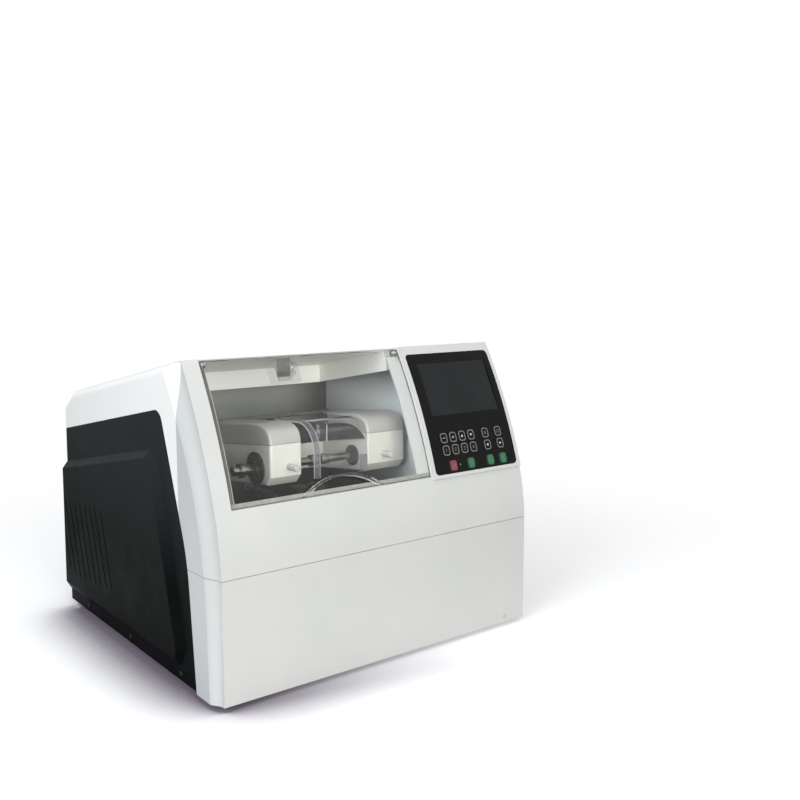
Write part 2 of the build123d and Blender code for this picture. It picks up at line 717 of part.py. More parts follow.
def rear_panel():
    """The sheet at the back, with its cut-outs."""
    y = rear_y()
    sheet = block(-WIDTH, WIDTH, y + SEAT, y + SEAT + REAR_PLATE, 0, FACE_TOP)
    plate = case(WALL + LIP_PLATE + SEAT) & sheet
    half_w, half_h = INLET_WIDTH / 2, INLET_HEIGHT / 2
    plate -= block(INLET_X - half_w, INLET_X + half_w, y - 9, y + 9, INLET_Z - half_h, INLET_Z + half_h)
    for x, z, radius in ((DRAIN_X, DRAIN_Z, DRAIN_R), (WATER_X, WATER_Z, WATER_R)):
        plate -= Pos(x, y, z) * Rot(90, 0, 0) * Cylinder(radius + SEAT, 20)
    half = LOUVRE_WIDTH / 2
    for row in range(LOUVRE_COUNT):
        z = LOUVRE_LOW + row * LOUVRE_PITCH
        plate -= block(-half, half, y - 9, y + 9, z, z + LOUVRE_HEIGHT)
    return plate


def chamber_tub():
    """The grinding chamber: an open tub with a ledge and a window for the arms."""
    top_front = (FACE_TOP_Y + 12, roof_height(FACE_TOP_Y + 12) - TUB_DROP)
    rear = TUB_REAR + WALL
    top_rear = (rear, roof_height(rear) - TUB_DROP)
    clear = DOOR_SHEET + DOOR_GAP + FRAME_WALL + SEAT
    start, end = lean_at(TUB_SILL), lean_at(top_front[1])
    front = front_curve(start, end, clear)
    sill = front_point(start, clear)
    crest = front_point(end, clear)
    front_y = TUB_FRONT - WALL
    floor = TUB_FLOOR - WALL
    rest = Polyline(crest, top_rear, (rear, floor), (front_y, floor), (front_y, sill[1]), sill)
    hollow = polygon(
        (TUB_FRONT, TUB_FLOOR),
        (TUB_REAR, TUB_FLOOR),
        (TUB_REAR, FACE_TOP + 50),
        (-50, FACE_TOP + 50),
        (-50, TUB_SILL),
        (TUB_FRONT, TUB_SILL),
    )
    tub = prism([*front, rest], TUB_LEFT - WALL, TUB_RIGHT + WALL) - prism(hollow, TUB_LEFT, TUB_RIGHT)
    tub += block(TUB_LEFT, TUB_RIGHT, TUB_REAR - LEDGE_DEPTH, TUB_REAR, LEDGE_Z - LEDGE_THICK, LEDGE_Z)
    tub -= block(*window_span(), TUB_REAR - 1, rear + 1, WINDOW_LOW, WINDOW_HIGH)
    tub -= rod(HOUSING_R + LOOSE, TUB_RIGHT - 1, TUB_RIGHT + WALL + 1, WHEEL_AXIS)
    tub -= Pos(DRAIN_X, DRAIN_Y, TUB_FLOOR) * Cylinder(DRAIN_R - DRAIN_WALL, 20)
    tub -= Pos(NOZZLE_X, TUB_REAR, NOZZLE_Z) * Rot(90, 0, 0) * Cylinder(NOZZLE_R, 20)
    return tub


def window_span():
    """Left and right edges of the arms' window in the back wall."""
    margin = 3.0
    return LEFT_ARM[0] + TRAVERSE[0] - margin, RIGHT_ARM[1] + TRAVERSE[1] + margin


def chamber_door():
    """The clear curved door, with an ear for a pin at each top corner."""
    door = skin(DOOR_LEFT, DOOR_RIGHT, DOOR_LOW, DOOR_HIGH, 0.0, DOOR_SHEET)
    axis = hinge_axis()
    for x0 in (DOOR_LEFT, DOOR_RIGHT - EAR_WIDTH):
        door += rod(EAR_R, x0, x0 + EAR_WIDTH, axis)
        door -= rod(HINGE_PIN_R + RUN, x0 - 1, x0 + EAR_WIDTH + 1, axis)
    return door


def hinge_pins():
    axis = hinge_axis()
    reach = HINGE_PIN_LENGTH - 12
    left = rod(HINGE_PIN_R, DOOR_LEFT - 12, DOOR_LEFT + reach, axis)
    right = rod(HINGE_PIN_R, DOOR_RIGHT - reach, DOOR_RIGHT + 12, axis)
    return Compound([left, right])


def door_handle():
    """The clear finger pull: a strip bent to a low arch, glued to the door by its edge."""
    plane = front_plane(HANDLE_X, HANDLE_LOW)
    half = HANDLE_SPAN / 2
    outer = ThreePointArc((-half, 0), (0, HANDLE_RISE), (half, 0))
    inner_half = half - HANDLE_STRIP
    inner = ThreePointArc((-inner_half, 0), (0, HANDLE_RISE - HANDLE_STRIP), (inner_half, 0))
    feet = [Line((-half, 0), (-inner_half, 0)), Line((half, 0), (inner_half, 0))]
    arch = make_face([outer, inner, *feet])
    strip = extrude(plane * Pos(0, 0, -3) * arch, HANDLE_PROUD + 3)
    return strip - skin(HANDLE_X - half - 9, HANDLE_X + half + 9, HANDLE_LOW - 20, HANDLE_LOW + 80, 0.0, 20.0)


def door_block():
    """The clear block inside the door that carries the dark magnet, with its wedge."""
    x0, x1 = BLOCK_X - BLOCK_WIDTH / 2, BLOCK_X + BLOCK_WIDTH / 2
    plate = skin(x0, x1, BLOCK_LOW, BLOCK_HIGH, DOOR_SHEET, DOOR_SHEET + BLOCK_DEPTH)
    return plate - door_magnet()


def magnet_plane():
    return front_plane(BLOCK_X, (BLOCK_LOW + BLOCK_HIGH) / 2, DOOR_SHEET + BLOCK_DEPTH)


def door_magnet():
    """The magnet with its wedge, let into the block's back."""
    half_w, half_h = MAGNET_WIDTH / 2, MAGNET_HEIGHT / 2
    tip = (half_w + WEDGE_LENGTH, 0)
    outline = polygon((-half_w, -half_h), (half_w, -half_h), tip, (half_w, half_h), (-half_w, half_h))
    return extrude(magnet_plane() * make_face(outline), MAGNET_DEPTH)


def console_panel():
    """The black overlay, with a window for the screen and a hole for each key."""
    back = CONSOLE_SINK - PAD_PROUD
    plate = skin(CONSOLE_LEFT, CONSOLE_RIGHT, CONSOLE_LOW, CONSOLE_HIGH, console_face(), back)
    plate = round_corners(plate, CONSOLE_CORNER)
    plate -= screen_block(PANEL_GAP, -12.0, 30.0)
    for _, x, z in key_places():
        plate -= key_form(x, z, KEY_GAP, 12.0, 12.0)
    plate -= extrude(front_plane(LAMP_X, KEY_ROWS[2], 6.0) * Circle(LAMP_R + SEAT / 2), 20)
    return plate


def key_form(x, z, margin, out, back):
    """A key's rounded square, drawn out of the front surface and back from it."""
    square = RectangleRounded(KEY_WIDTH + 2 * margin, KEY_HEIGHT + 2 * margin, KEY_CORNER + margin)
    return extrude(front_plane(x, z, back) * square, back + out)


def key(x, z):
    """A key with its stem behind it."""
    top = -console_face() + KEY_PROUD
    cap = key_form(x, z, 0.0, top, KEY_THICK - top)
    reach = BOARD_INSET - 2 * KEY_TRAVEL - SEAT
    stem = extrude(front_plane(x, z, reach) * Circle(KEY_STEM_R), reach + 1.0)
    return cap + stem


def keypad_board():
    """The board behind the keys, with the status light on it."""
    middle_z = (KEY_ROWS[0] + KEY_ROWS[2]) / 2
    middle_x = (KEY_FIRST_X + KEY_PAIR_X[1]) / 2
    plane = front_plane(middle_x, middle_z, BOARD_INSET + BOARD_THICK)
    width = KEY_PAIR_X[1] - KEY_FIRST_X + KEY_WIDTH + 18
    height = KEY_ROWS[0] - KEY_ROWS[2] + KEY_HEIGHT + 8
    board = extrude(plane * Rectangle(width, height), BOARD_THICK)
    lamp_plane = front_plane(LAMP_X, KEY_ROWS[2], BOARD_INSET + BOARD_THICK / 2)
    lamp = extrude(lamp_plane * Circle(LAMP_R), BOARD_INSET + BOARD_THICK / 2 - console_face())
    return board + lamp


def lcd_module():
    """The display: its flat glass in the window and its metal case behind the cover."""
    glass = screen_block(0.0, SCREEN_INSET, 6.0)
    wide, tall = SCREEN_WIDTH + 2 * SCREEN_EDGE, SCREEN_HEIGHT + 2 * SCREEN_EDGE
    back = 6.0 + SCREEN_CASE
    case_plate = extrude(front_plane(SCREEN_X, SCREEN_Z, back) * Rectangle(wide, tall), SCREEN_CASE)
    return glass + case_plate


def sloped(y, height):
    """Height at a depth of a line of the heads that starts at the front at this height."""
    return height - (y - HEAD_FRONT) * tan(radians(HEAD_TILT))


def head_form(x0, x1):
    """Outer form of a carriage head, rounded along its sides."""
    brow_y = HEAD_FRONT + HEAD_BROW
    slope = -tan(radians(HEAD_TILT))
    crest = (brow_y, sloped(brow_y, HEAD_TOP))
    brow = Spline((HEAD_FRONT, HEAD_SEAM), crest, tangents=[(0, 1), (1, slope)])
    chin = HEAD_FRONT + HEAD_CHAMFER
    rest = Polyline(
        crest,
        (HEAD_BACK, sloped(HEAD_BACK, HEAD_TOP)),
        (HEAD_BACK, sloped(HEAD_BACK, HEAD_BOTTOM)),
        (chin, sloped(chin, HEAD_BOTTOM)),
        (HEAD_FRONT, HEAD_BOTTOM + HEAD_CHAMFER),
        (HEAD_FRONT, HEAD_SEAM),
    )
    form = prism([brow, rest], x0, x1)
    sides = form.faces().filter_by(Axis.X).edges().filter_by(lambda e: e.center().Y < HEAD_BACK - 1)
    return fillet(sides, HEAD_ROUND)


def head_hollow(x0, x1):
    """The space inside a head, open to the back."""
    front = HEAD_FRONT + WALL
    brow_y = HEAD_FRONT + HEAD_BROW
    back = HEAD_BACK + 20
    outline = polygon(
        (front, HEAD_BOTTOM + WALL + HEAD_CHAMFER),
        (front + HEAD_CHAMFER, sloped(front + HEAD_CHAMFER, HEAD_BOTTOM + WALL)),
        (back, sloped(back, HEAD_BOTTOM + WALL)),
        (back, sloped(back, HEAD_TOP - WALL)),
        (brow_y, sloped(brow_y, HEAD_TOP - WALL)),
        (front + 7, HEAD_SEAM + 7),
        (front, HEAD_SEAM - 9),
    )
    return prism(outline, x0 + WALL, x1 - WALL)


def head_half(span, upper):
    """The cap or the body of a head, on its side of the sloping seam."""
    x0, x1 = span
    shell = head_form(x0, x1) - head_hollow(x0, x1)
    back = HEAD_BACK + 30
    shift = SEAM_GAP / 2 if upper else -SEAM_GAP / 2
    far = 200 if upper else -200
    front = HEAD_FRONT - 30
    side = polygon(
        (front, sloped(front, HEAD_SEAM) + shift),
        (back, sloped(back, HEAD_SEAM) + shift),
        (back, HEAD_SEAM + far),
        (front, HEAD_SEAM + far),
    )
    half = shell & prism(side, x0 - 1, x1 + 1)
    half -= beam_form(SEAT)
    return half


def beam_form(margin):
    """The carriage's cross beam between the two arms."""
    return block(
        LEFT_ARM[1] - 1,
        RIGHT_ARM[0] + 1,
        BEAM_FRONT - margin,
        BEAM_BACK + margin,
        BEAM_LOW - margin,
        BEAM_HIGH + margin,
    )


def left_head_body():
    body = head_half(LEFT_HEAD, upper=False)
    return body - rod(LENS_SHAFT_R + LOOSE, LEFT_HEAD[0] - 1, LEFT_HEAD[1] + 1, LENS_AXIS)


def right_head_body():
    body = head_half(RIGHT_HEAD, upper=False)
    return body - rod(LENS_SHAFT_R + LOOSE, RIGHT_HEAD[0] - 1, RIGHT_HEAD[0] + WALL + 1, LENS_AXIS)


def link(radius, x0, x1, start, end):
    """A bar with round ends about two axes, drawn out along X."""
    (y0, z0), (y1, z1) = start, end
    run = hypot(y1 - y0, z1 - z0)
    dy, dz = -(z1 - z0) / run * radius, (y1 - y0) / run * radius
    web = polygon((y0 + dy, z0 + dz), (y1 + dy, z1 + dz), (y1 - dy, z1 - dz), (y0 - dy, z0 - dz))
    return prism(web, x0, x1) + rod(radius, x0, x1, start) + rod(radius, x0, x1, end)


def carriage_frame():
    """Both arms, from the lens axis to the pivot, and the beam that joins them."""
    frame = beam_form(0.0)
    for x0, x1 in (LEFT_ARM, RIGHT_ARM):
        frame += link(ARM_HALF, x0, x1, LENS_AXIS, PIVOT_AXIS)
    frame -= rod(PIVOT_R + RUN, LEFT_ARM[0] - 1, RIGHT_ARM[1] + 1, PIVOT_AXIS)
    frame -= rod(LENS_SHAFT_R + RUN, LEFT_ARM[0] - 1, LEFT_ARM[1] + 1, LENS_AXIS)
    frame -= rod(QUILL_R + RUN, RIGHT_ARM[0] - 1, RIGHT_ARM[1] + 1, LENS_AXIS)
    return frame


def head_pegs():
    pegs = []
    for x in PEG_X:
        peg = Pos(x, HEAD_FRONT - PEG_LENGTH / 2, PEG_Z) * Rot(90, 0, 0) * Cylinder(PEG_R, PEG_LENGTH)
        pegs.append(chamfer(peg.faces().sort_by(Axis.Y)[0].edges(), 1.0))
    return Compound(pegs)


def bearing_flange():
    """The round flange on the left head's far side, with its four screws."""
    x1 = LEFT_HEAD[0]
    x0 = x1 - FLANGE_THICK
    flange = rod(BEARING_FLANGE_R, x0, x1, LENS_AXIS)
    flange += rod(LENS_SHAFT_R + 6, x0 - 4, x0, LENS_AXIS)
    for i in range(4):
        place = Rot(90 * i + 45, 0, 0) * Pos(0, BEARING_FLANGE_R - 6, 0)
        y = LENS_AXIS[0] + place.position.Y
        z = LENS_AXIS[1] + place.position.Z
        flange += rod(3.0, x0 - 2, x0, (y, z))
    return flange - rod(LENS_SHAFT_R + LOOSE, x0 - 9, x1 + 9, LENS_AXIS)


def seal_flange():
    """The plain round seal where the right shaft leaves its head."""
    x1 = RIGHT_HEAD[0]
    seal = rod(SEAL_FLANGE_R, x1 - FLANGE_THICK, x1, LENS_AXIS)
    return seal - rod(LENS_SHAFT_R + LOOSE, x1 - 9, x1 + 9, LENS_AXIS)


def shaft_flanges():
    return Compound([bearing_flange(), seal_flange()])


def left_lens_shaft():
    """The shaft through the left head: end cap, stepped stub, and the chuck at the lens."""
    shaft = rod(LENS_SHAFT_R, STUB_END + 1, LENS_PLANE - CHUCK_LENGTH, LENS_AXIS)
    for radius, start, end in STUB_STEPS:
        shaft += rod(radius, STUB_END + start, STUB_END + end, LENS_AXIS)
    shaft += rod(CHUCK_R, LENS_PLANE - CHUCK_LENGTH, LENS_PLANE - PAD_THICK, LENS_AXIS)
    return shaft + rod(PAD_R, LENS_PLANE - PAD_THICK, LENS_PLANE - LOOSE, LENS_AXIS)


def quill_left():
    return RIGHT_HEAD[0] + WALL + 1


def clamp_quill():
    """The sleeve that slides in the right arm and carries the right shaft along."""
    x0 = quill_left()
    quill = rod(QUILL_R, x0, x0 + QUILL_LENGTH, LENS_AXIS)
    return quill - rod(LENS_SHAFT_R + RUN, x0 - 1, x0 + QUILL_LENGTH + 1, LENS_AXIS)


def right_lens_shaft():
    """The shaft through the quill, with its nose, its ring and its end collar."""
    nose = LENS_PLANE + PAD_THICK
    end = quill_left() + QUILL_LENGTH + SEAT
    shaft = rod(LENS_SHAFT_R, nose, end, LENS_AXIS)
    shaft += rod(LENS_SHAFT_R + 3, end, end + 2.5, LENS_AXIS)
    shaft += rod(LENS_SHAFT_R + 2.5, nose, nose + 8, LENS_AXIS)
    return shaft + rod(LENS_SHAFT_R + 1.5, nose + 13, nose + 16, LENS_AXIS)


def clamp_pad():
    return rod(PAD_R, LENS_PLANE, LENS_PLANE + PAD_THICK, LENS_AXIS)


def bracket_cheek(y1):
    """Outline of the cheek that lines the right head's inner side, arched like the guard."""
    corner, tip = (y1, BRACKET_LOW), CHEEK_TIP
    lower = Polyline((y1, CHEEK_ARC[-1][1]), corner, tip)
    return [lower, Spline(tip, *CHEEK_ARC), Line(CHEEK_ARC[-1], (y1, CHEEK_ARC[-1][1]))]


def guard_bracket():
    """The dark plate on the beam, its arched cheek, and the guard's rod between its two ears."""
    y1 = BEAM_FRONT
    y0 = y1 - BRACKET_PLATE
    x0, x1 = GUARD_LEFT - SEAT - BRACKET_EAR, GUARD_RIGHT + SEAT + BRACKET_EAR
    top = GUARD_PIVOT[1] + GUARD_KNUCKLE_R
    bracket = block(x0, x1, y0, y1, BRACKET_LOW, top)
    for left in (x0, x1 - BRACKET_EAR):
        bracket += block(left, left + BRACKET_EAR, GUARD_PIVOT[0] - 6, y1, GUARD_PIVOT[1] - 6, top)
    cheek_x = x1 - BRACKET_EAR
    bracket += prism(bracket_cheek(y1), cheek_x, x1)
    hollow_x, hollow_y = cheek_x - BRACKET_CORNER_R, y0 - BRACKET_CORNER_R
    high = CHEEK_ARC[-1][1] - BRACKET_EAR
    corner = block(hollow_x, cheek_x, hollow_y, y0, BRACKET_LOW, high)
    corner -= Pos(hollow_x, hollow_y, 0) * Cylinder(BRACKET_CORNER_R, 3 * high)
    bracket += corner - bracket_slope(hollow_x - 1, cheek_x, y1)
    (plate_x, plate_z), (cheek_y, cheek_z) = BRACKET_SCREWS
    bracket += Pos(plate_x, y0 - 1.0, plate_z) * Rot(90, 0, 0) * Cylinder(4.0, 2.0)
    bracket += rod(4.0, cheek_x - 2.0, cheek_x, (cheek_y, cheek_z))
    return bracket + rod(GUARD_ROD_R, x0, x1, GUARD_PIVOT)


def bracket_slope(x0, x1, y1):
    """The space under the cheek's sloping lower edge."""
    tip_y, tip_z = CHEEK_TIP
    return prism(polygon((y1, BRACKET_LOW), (tip_y, tip_z), (tip_y, 0.0), (y1, 0.0)), x0, x1)


def guard_edge(inset):
    """The guard's outline from its knuckle over the top and down the front."""
    radius = GUARD_ROUND - inset
    middle = (GUARD_FRONT + GUARD_ROUND, GUARD_TOP - GUARD_ROUND)
    half = radius * cos(radians(45))
    back = (GUARD_PIVOT[0], GUARD_PIVOT[1] + GUARD_KNUCKLE_R - inset)
    crest = (middle[0], middle[1] + radius)
    front = (middle[0] - radius, middle[1])
    arc = ThreePointArc(crest, (middle[0] - half, middle[1] + half), front)
    return [Line(back, crest), arc, Line(front, (front[0], GUARD_BOTTOM))]


def splash_guard():
    """The clear bent cover over the lens, with its knuckle at the back."""
    outer, inner = guard_edge(0.0), guard_edge(GUARD_SHEET)
    ends = [Line(outer[0] @ 0, inner[0] @ 0), Line(outer[2] @ 1, inner[2] @ 1)]
    guard = prism([*outer, *inner, *ends], GUARD_LEFT, GUARD_RIGHT)
    guard += rod(GUARD_KNUCKLE_R, GUARD_LEFT, GUARD_RIGHT, GUARD_PIVOT)
    return guard - rod(GUARD_ROD_R + RUN, GUARD_LEFT - 1, GUARD_RIGHT + 1, GUARD_PIVOT)


def slide_block():
    """The block that rides on both guide rods and carries the carriage's pivot."""
    half = SLIDE_DEPTH / 2
    low, high = ROD_Z[1] - SLIDE_MARGIN, ROD_Z[0] + SLIDE_MARGIN
    slide = block(BLOCK_LEFT_X, BLOCK_RIGHT_X, ROD_Y - half, ROD_Y + half, low, high)
    y, z = PIVOT_AXIS
    for x0 in (BLOCK_LEFT_X, BLOCK_RIGHT_X - EAR_THICK):
        slide += block(x0, x0 + EAR_THICK, y, ROD_Y - half, z - ARM_HALF, z + ARM_HALF)
        slide += rod(ARM_HALF, x0, x0 + EAR_THICK, PIVOT_AXIS)
    slide -= rod(PIVOT_R, BLOCK_LEFT_X - 1, BLOCK_RIGHT_X + 1, PIVOT_AXIS)
    for rod_z in ROD_Z:
        slide -= rod(ROD_R + RUN, BLOCK_LEFT_X - 1, BLOCK_RIGHT_X + 1, (ROD_Y, rod_z))
    return slide - rod(SCREW_SPINDLE_R + SEAT, BLOCK_LEFT_X - 1, BLOCK_RIGHT_X + 1, (ROD_Y, sum(ROD_Z) / 2))


def pivot_shaft():
    return rod(PIVOT_R, LEFT_ARM[0] - 6, RIGHT_ARM[1] + 6, PIVOT_AXIS)


def guide_rods():
    return Compound([rod(ROD_R, ROD_LEFT, ROD_RIGHT, (ROD_Y, z)) for z in ROD_Z])


def traverse_motor():
    """The stepper beside the right pedestal, with its screw through the slide block."""
    axis = (ROD_Y, sum(ROD_Z) / 2)
    x0 = PEDESTAL_RIGHT + PEDESTAL_THICK + SEAT
    half = STEPPER_SIZE / 2
    motor = block(x0, x0 + STEPPER_LENGTH, axis[0] - half, axis[0] + half, axis[1] - half, axis[1] + half)
    motor = chamfer(motor.edges().filter_by(Axis.X), 5.0)
    for z in ROD_Z:
        motor -= rod(ROD_R + LOOSE, ROD_LEFT, ROD_RIGHT + 2, (ROD_Y, z))
    return motor + rod(SCREW_SPINDLE_R, PEDESTAL_LEFT, x0, axis)


def spindle_housing():
    """The bearing cartridge through the tub's wall, on its own pedestal."""
    housing = rod(HOUSING_R, HOUSING_LEFT, HOUSING_RIGHT, WHEEL_AXIS)
    y, z = WHEEL_AXIS
    left = TUB_RIGHT + WALL + 9
    housing += block(left, HOUSING_RIGHT - 4, y - HOUSING_R, y + HOUSING_R, BASE_PLATE, z)
    return housing - rod(SPINDLE_R + RUN, HOUSING_LEFT - 1, HOUSING_RIGHT + 1, WHEEL_AXIS)


def wheels_right():
    return WHEEL_LEFT + sum(WHEEL_WIDTHS)


def grinding_wheels():
    """Roughing, bevelling and polishing wheels side by side; the middle one has its groove."""
    wheels = []
    x = WHEEL_LEFT
    for i, width in enumerate(WHEEL_WIDTHS):
        half = width / 2
        points = [(SPINDLE_R, -half), (WHEEL_R, -half)]
        if i == 1:
            points += [(WHEEL_R, -BEVEL_GROOVE), (WHEEL_R - BEVEL_GROOVE, 0), (WHEEL_R, BEVEL_GROOVE)]
        points += [(WHEEL_R, half), (SPINDLE_R, half)]
        face = make_face(Polyline(*points, close=True))
        wheel = revolve(Plane.XZ * face, Axis.Z)
        wheels.append(Pos(x + half, *WHEEL_AXIS) * Rot(0, 90, 0) * wheel)
        x += width
    return Compound(wheels)


def wheel_spindle():
    """The spindle with its nut, shoulder and driven pulley."""
    right = wheels_right()
    end = PULLEY_LEFT + PULLEY_WIDTH
    spindle = rod(SPINDLE_R, WHEEL_LEFT - NUT_WIDTH, end + 3, WHEEL_AXIS)
    spindle += rod(SHOULDER_R, right, right + SHOULDER_WIDTH, WHEEL_AXIS)
    nut = Plane.YZ.offset(WHEEL_LEFT - NUT_WIDTH) * Pos(*WHEEL_AXIS) * RegularPolygon(NUT_R, 6)
    return spindle + extrude(nut, NUT_WIDTH) + pulley(WHEEL_AXIS)


def pulley(axis):
    """A flanged pulley."""
    end = PULLEY_LEFT + PULLEY_WIDTH
    wheel = rod(PULLEY_R, PULLEY_LEFT, end, axis)
    for x0 in (PULLEY_LEFT, end - PULLEY_RIM):
        wheel += rod(PULLEY_R + BELT_THICK + 2, x0, x0 + PULLEY_RIM, axis)
    return wheel


def drive_motor():
    """The motor under the tub, on its saddle, with its shaft's collar."""
    motor = rod(MOTOR_R, MOTOR_LEFT, MOTOR_RIGHT, MOTOR_AXIS)
    y, z = MOTOR_AXIS
    saddle = 0.9 * MOTOR_R
    margin = MOTOR_R / 2
    motor += block(MOTOR_LEFT + margin, MOTOR_RIGHT - margin, y - saddle, y + saddle, BASE_PLATE, z - 10)
    wires = 0.44 * MOTOR_R
    reach = y + MOTOR_R + MOTOR_BOX
    motor += block(MOTOR_LEFT + margin, MOTOR_LEFT + 3 * margin, y, reach, z - wires, z + wires)
    return motor - rod(MOTOR_SHAFT_R + RUN, MOTOR_RIGHT - MOTOR_BORE, MOTOR_RIGHT + 1, MOTOR_AXIS)


def motor_pulley():
    shaft = rod(MOTOR_SHAFT_R, MOTOR_RIGHT - MOTOR_BORE + 1, PULLEY_LEFT + PULLEY_WIDTH + 3, MOTOR_AXIS)
    return shaft + pulley(MOTOR_AXIS)


def drive_belt():
    margin = (PULLEY_WIDTH - BELT_WIDTH) / 2
    x0, x1 = PULLEY_LEFT + margin, PULLEY_LEFT + PULLEY_WIDTH - margin
    inner = PULLEY_R + SEAT
    band = link(inner + BELT_THICK, x0, x1, WHEEL_AXIS, MOTOR_AXIS)
    return band - link(inner, x0 - 1, x1 + 1, WHEEL_AXIS, MOTOR_AXIS)


def water_nozzle():
    """The cooling pipe that points at the wheels from the back wall."""
    tip = WHEEL_AXIS[0] + WHEEL_R + 22
    end = TUB_REAR + WALL + 8
    along = Pos(NOZZLE_X, (tip + end) / 2, NOZZLE_Z) * Rot(90, 0, 0)
    pipe = along * Cylinder(NOZZLE_R, end - tip)
    pipe += Pos(NOZZLE_X, TUB_REAR - 2, NOZZLE_Z) * Rot(90, 0, 0) * Cylinder(NOZZLE_R + 3, 4)
    return pipe - along * Cylinder(NOZZLE_R - 1.5, end - tip + 2)


def spigot_end():
    return rear_y() + SEAT + REAR_PLATE + SPIGOT_LENGTH


def pipe_back(x, z, radius, y0, y1):
    """A round bar that runs to the back."""
    return Pos(x, (y0 + y1) / 2, z) * Rot(90, 0, 0) * Cylinder(radius, y1 - y0)


def drain_pipe():
    """The drain, from the tub's floor down and out to the back."""
    drop = TUB_FLOOR - WALL - DRAIN_Z
    down = Pos(DRAIN_X, DRAIN_Y, DRAIN_Z + drop / 2) * Cylinder(DRAIN_R, drop)
    bend = Pos(DRAIN_X, DRAIN_Y, DRAIN_Z)
    bore = DRAIN_R - DRAIN_WALL
    pipe = down + bend * Sphere(DRAIN_R) + spigot(DRAIN_X, DRAIN_Z, DRAIN_R)
    pipe += pipe_back(DRAIN_X, DRAIN_Z, DRAIN_R - NECK, DRAIN_Y, rear_y() + REAR_PLATE + 1)
    pipe -= Pos(DRAIN_X, DRAIN_Y, DRAIN_Z + drop / 2 + 1) * Cylinder(bore, drop + 2)
    pipe -= pipe_back(DRAIN_X, DRAIN_Z, bore, DRAIN_Y, spigot_end() + 1)
    return pipe - bend * Sphere(bore)


def spigot(x, z, radius):
    """A hose spigot behind the rear panel, with the flange that it stands on."""
    seat = rear_y() + SEAT + REAR_PLATE
    flange = pipe_back(x, z, radius + SPIGOT_RIM, seat, seat + SPIGOT_FLANGE)
    return flange + pipe_back(x, z, radius, seat + SPIGOT_FLANGE, spigot_end())


def water_inlet():
    """The bulkhead fitting for the water hose, with its nut inside the rear panel."""
    fitting = spigot(WATER_X, WATER_Z, WATER_R)
    fitting += pipe_back(WATER_X, WATER_Z, WATER_R - NECK, rear_y() - 14, rear_y() + REAR_PLATE + 1)
    nut = Plane.XZ.offset(-rear_y()) * Pos(WATER_X, WATER_Z) * RegularPolygon(WATER_R + 4, 6)
    fitting += extrude(nut, 5)
    return fitting - pipe_back(WATER_X, WATER_Z, WATER_R - WATER_WALL, rear_y() - 12, spigot_end() + 1)


def water_fittings():
    return Compound([drain_pipe(), water_inlet(), water_nozzle()])


def power_inlet():
    """The mains socket and the frame of its rocker switch, in one housing."""
    y0 = rear_y() + SEAT + REAR_PLATE
    face = y0 + INLET_LIP
    housing = inlet_block(0.0, y0 - INLET_DEPTH, y0) + inlet_block(INLET_FLANGE, y0, face)
    socket_z = INLET_Z - SOCKET_DROP
    half_w, half_h = SOCKET_HALF
    deep = face - SOCKET_DEPTH
    housing -= block(INLET_X - half_w, INLET_X + half_w, deep, face + 1, socket_z - half_h, socket_z + half_h)
    for across, up in SOCKET_PINS:
        x, z = INLET_X + across, socket_z + up
        housing += block(x - 1, x + 1, deep - 0.5, face - 2, z - 2, z + 2)
    rocker_z = rocker_axis()[1]
    half_w, half_h = ROCKER_WIDTH / 2 + SEAT, ROCKER_HALF + 1.6
    left, right = INLET_X - half_w, INLET_X + half_w
    housing -= block(left, right, face - 12, face + 1, rocker_z - half_h, rocker_z + half_h)
    reach = half_w + ROCKER_PIVOT_LENGTH
    return housing - rod(ROCKER_PIVOT_R + RUN, INLET_X - reach, INLET_X + reach, rocker_axis())


def inlet_block(grow, y0, y1):
    """The inlet's rectangle, grown by a flange, between two depths."""
    half_w, half_h = INLET_WIDTH / 2 + grow, INLET_HEIGHT / 2 + grow
    return block(INLET_X - half_w, INLET_X + half_w, y0, y1, INLET_Z - half_h, INLET_Z + half_h)


def rocker_axis():
    """(y, z) of the rocker's pivot."""
    return (rear_y() + SEAT + REAR_PLATE + INLET_LIP - 4.0, INLET_Z + ROCKER_LIFT)


def power_rocker():
    """The rocker: two faces that meet over the pivot, round underneath."""
    y, z = rocker_axis()
    outline = polygon(
        (y + 4.0, z),
        (y + 5.5, z + ROCKER_HALF),
        (y + 2.0, z + ROCKER_HALF),
        (y - ROCKER_R, z),
        (y + 2.0, z - ROCKER_HALF),
        (y + 5.5, z - ROCKER_HALF),
    )
    rocker = prism(outline, INLET_X - ROCKER_WIDTH / 2, INLET_X + ROCKER_WIDTH / 2)
    reach = ROCKER_WIDTH / 2 + ROCKER_PIVOT_LENGTH
    rocker += rod(ROCKER_PIVOT_R, INLET_X - reach, INLET_X + reach, rocker_axis())
    return Pos(0, y, z) * Rot(-ROCKER_TILT, 0, 0) * Pos(0, -y, -z) * rocker


def power_supply():
    """The supply box on the base, with its row of terminals."""
    x0, x1, y0, y1 = SUPPLY_SPAN
    box = block(x0, x1, y0, y1, BASE_PLATE, BASE_PLATE + SUPPLY_HEIGHT)
    return box + block(x0 + 8, x1 - 8, y0 - 12, y0, BASE_PLATE, BASE_PLATE + 16)


def control_board():
    """The main board on four posts, with its largest components."""
    x0, x1, y0, y1 = BOARD_SPAN
    board_z = BASE_PLATE + BOARD_POST
    board = block(x0, x1, y0, y1, board_z, board_z + BOARD_THICK)
    for x in (x0 + 6, x1 - 6):
        for y in (y0 + 6, y1 - 6):
            board += Pos(x, y, BASE_PLATE + BOARD_POST / 2) * Cylinder(3, BOARD_POST)
    top = board_z + BOARD_THICK
    for along, back, wide, deep, tall in BOARD_PARTS:
        x, y = x0 + along, y0 + back
        board += block(x - wide / 2, x + wide / 2, y - deep / 2, y + deep / 2, top, top + tall)
    return board


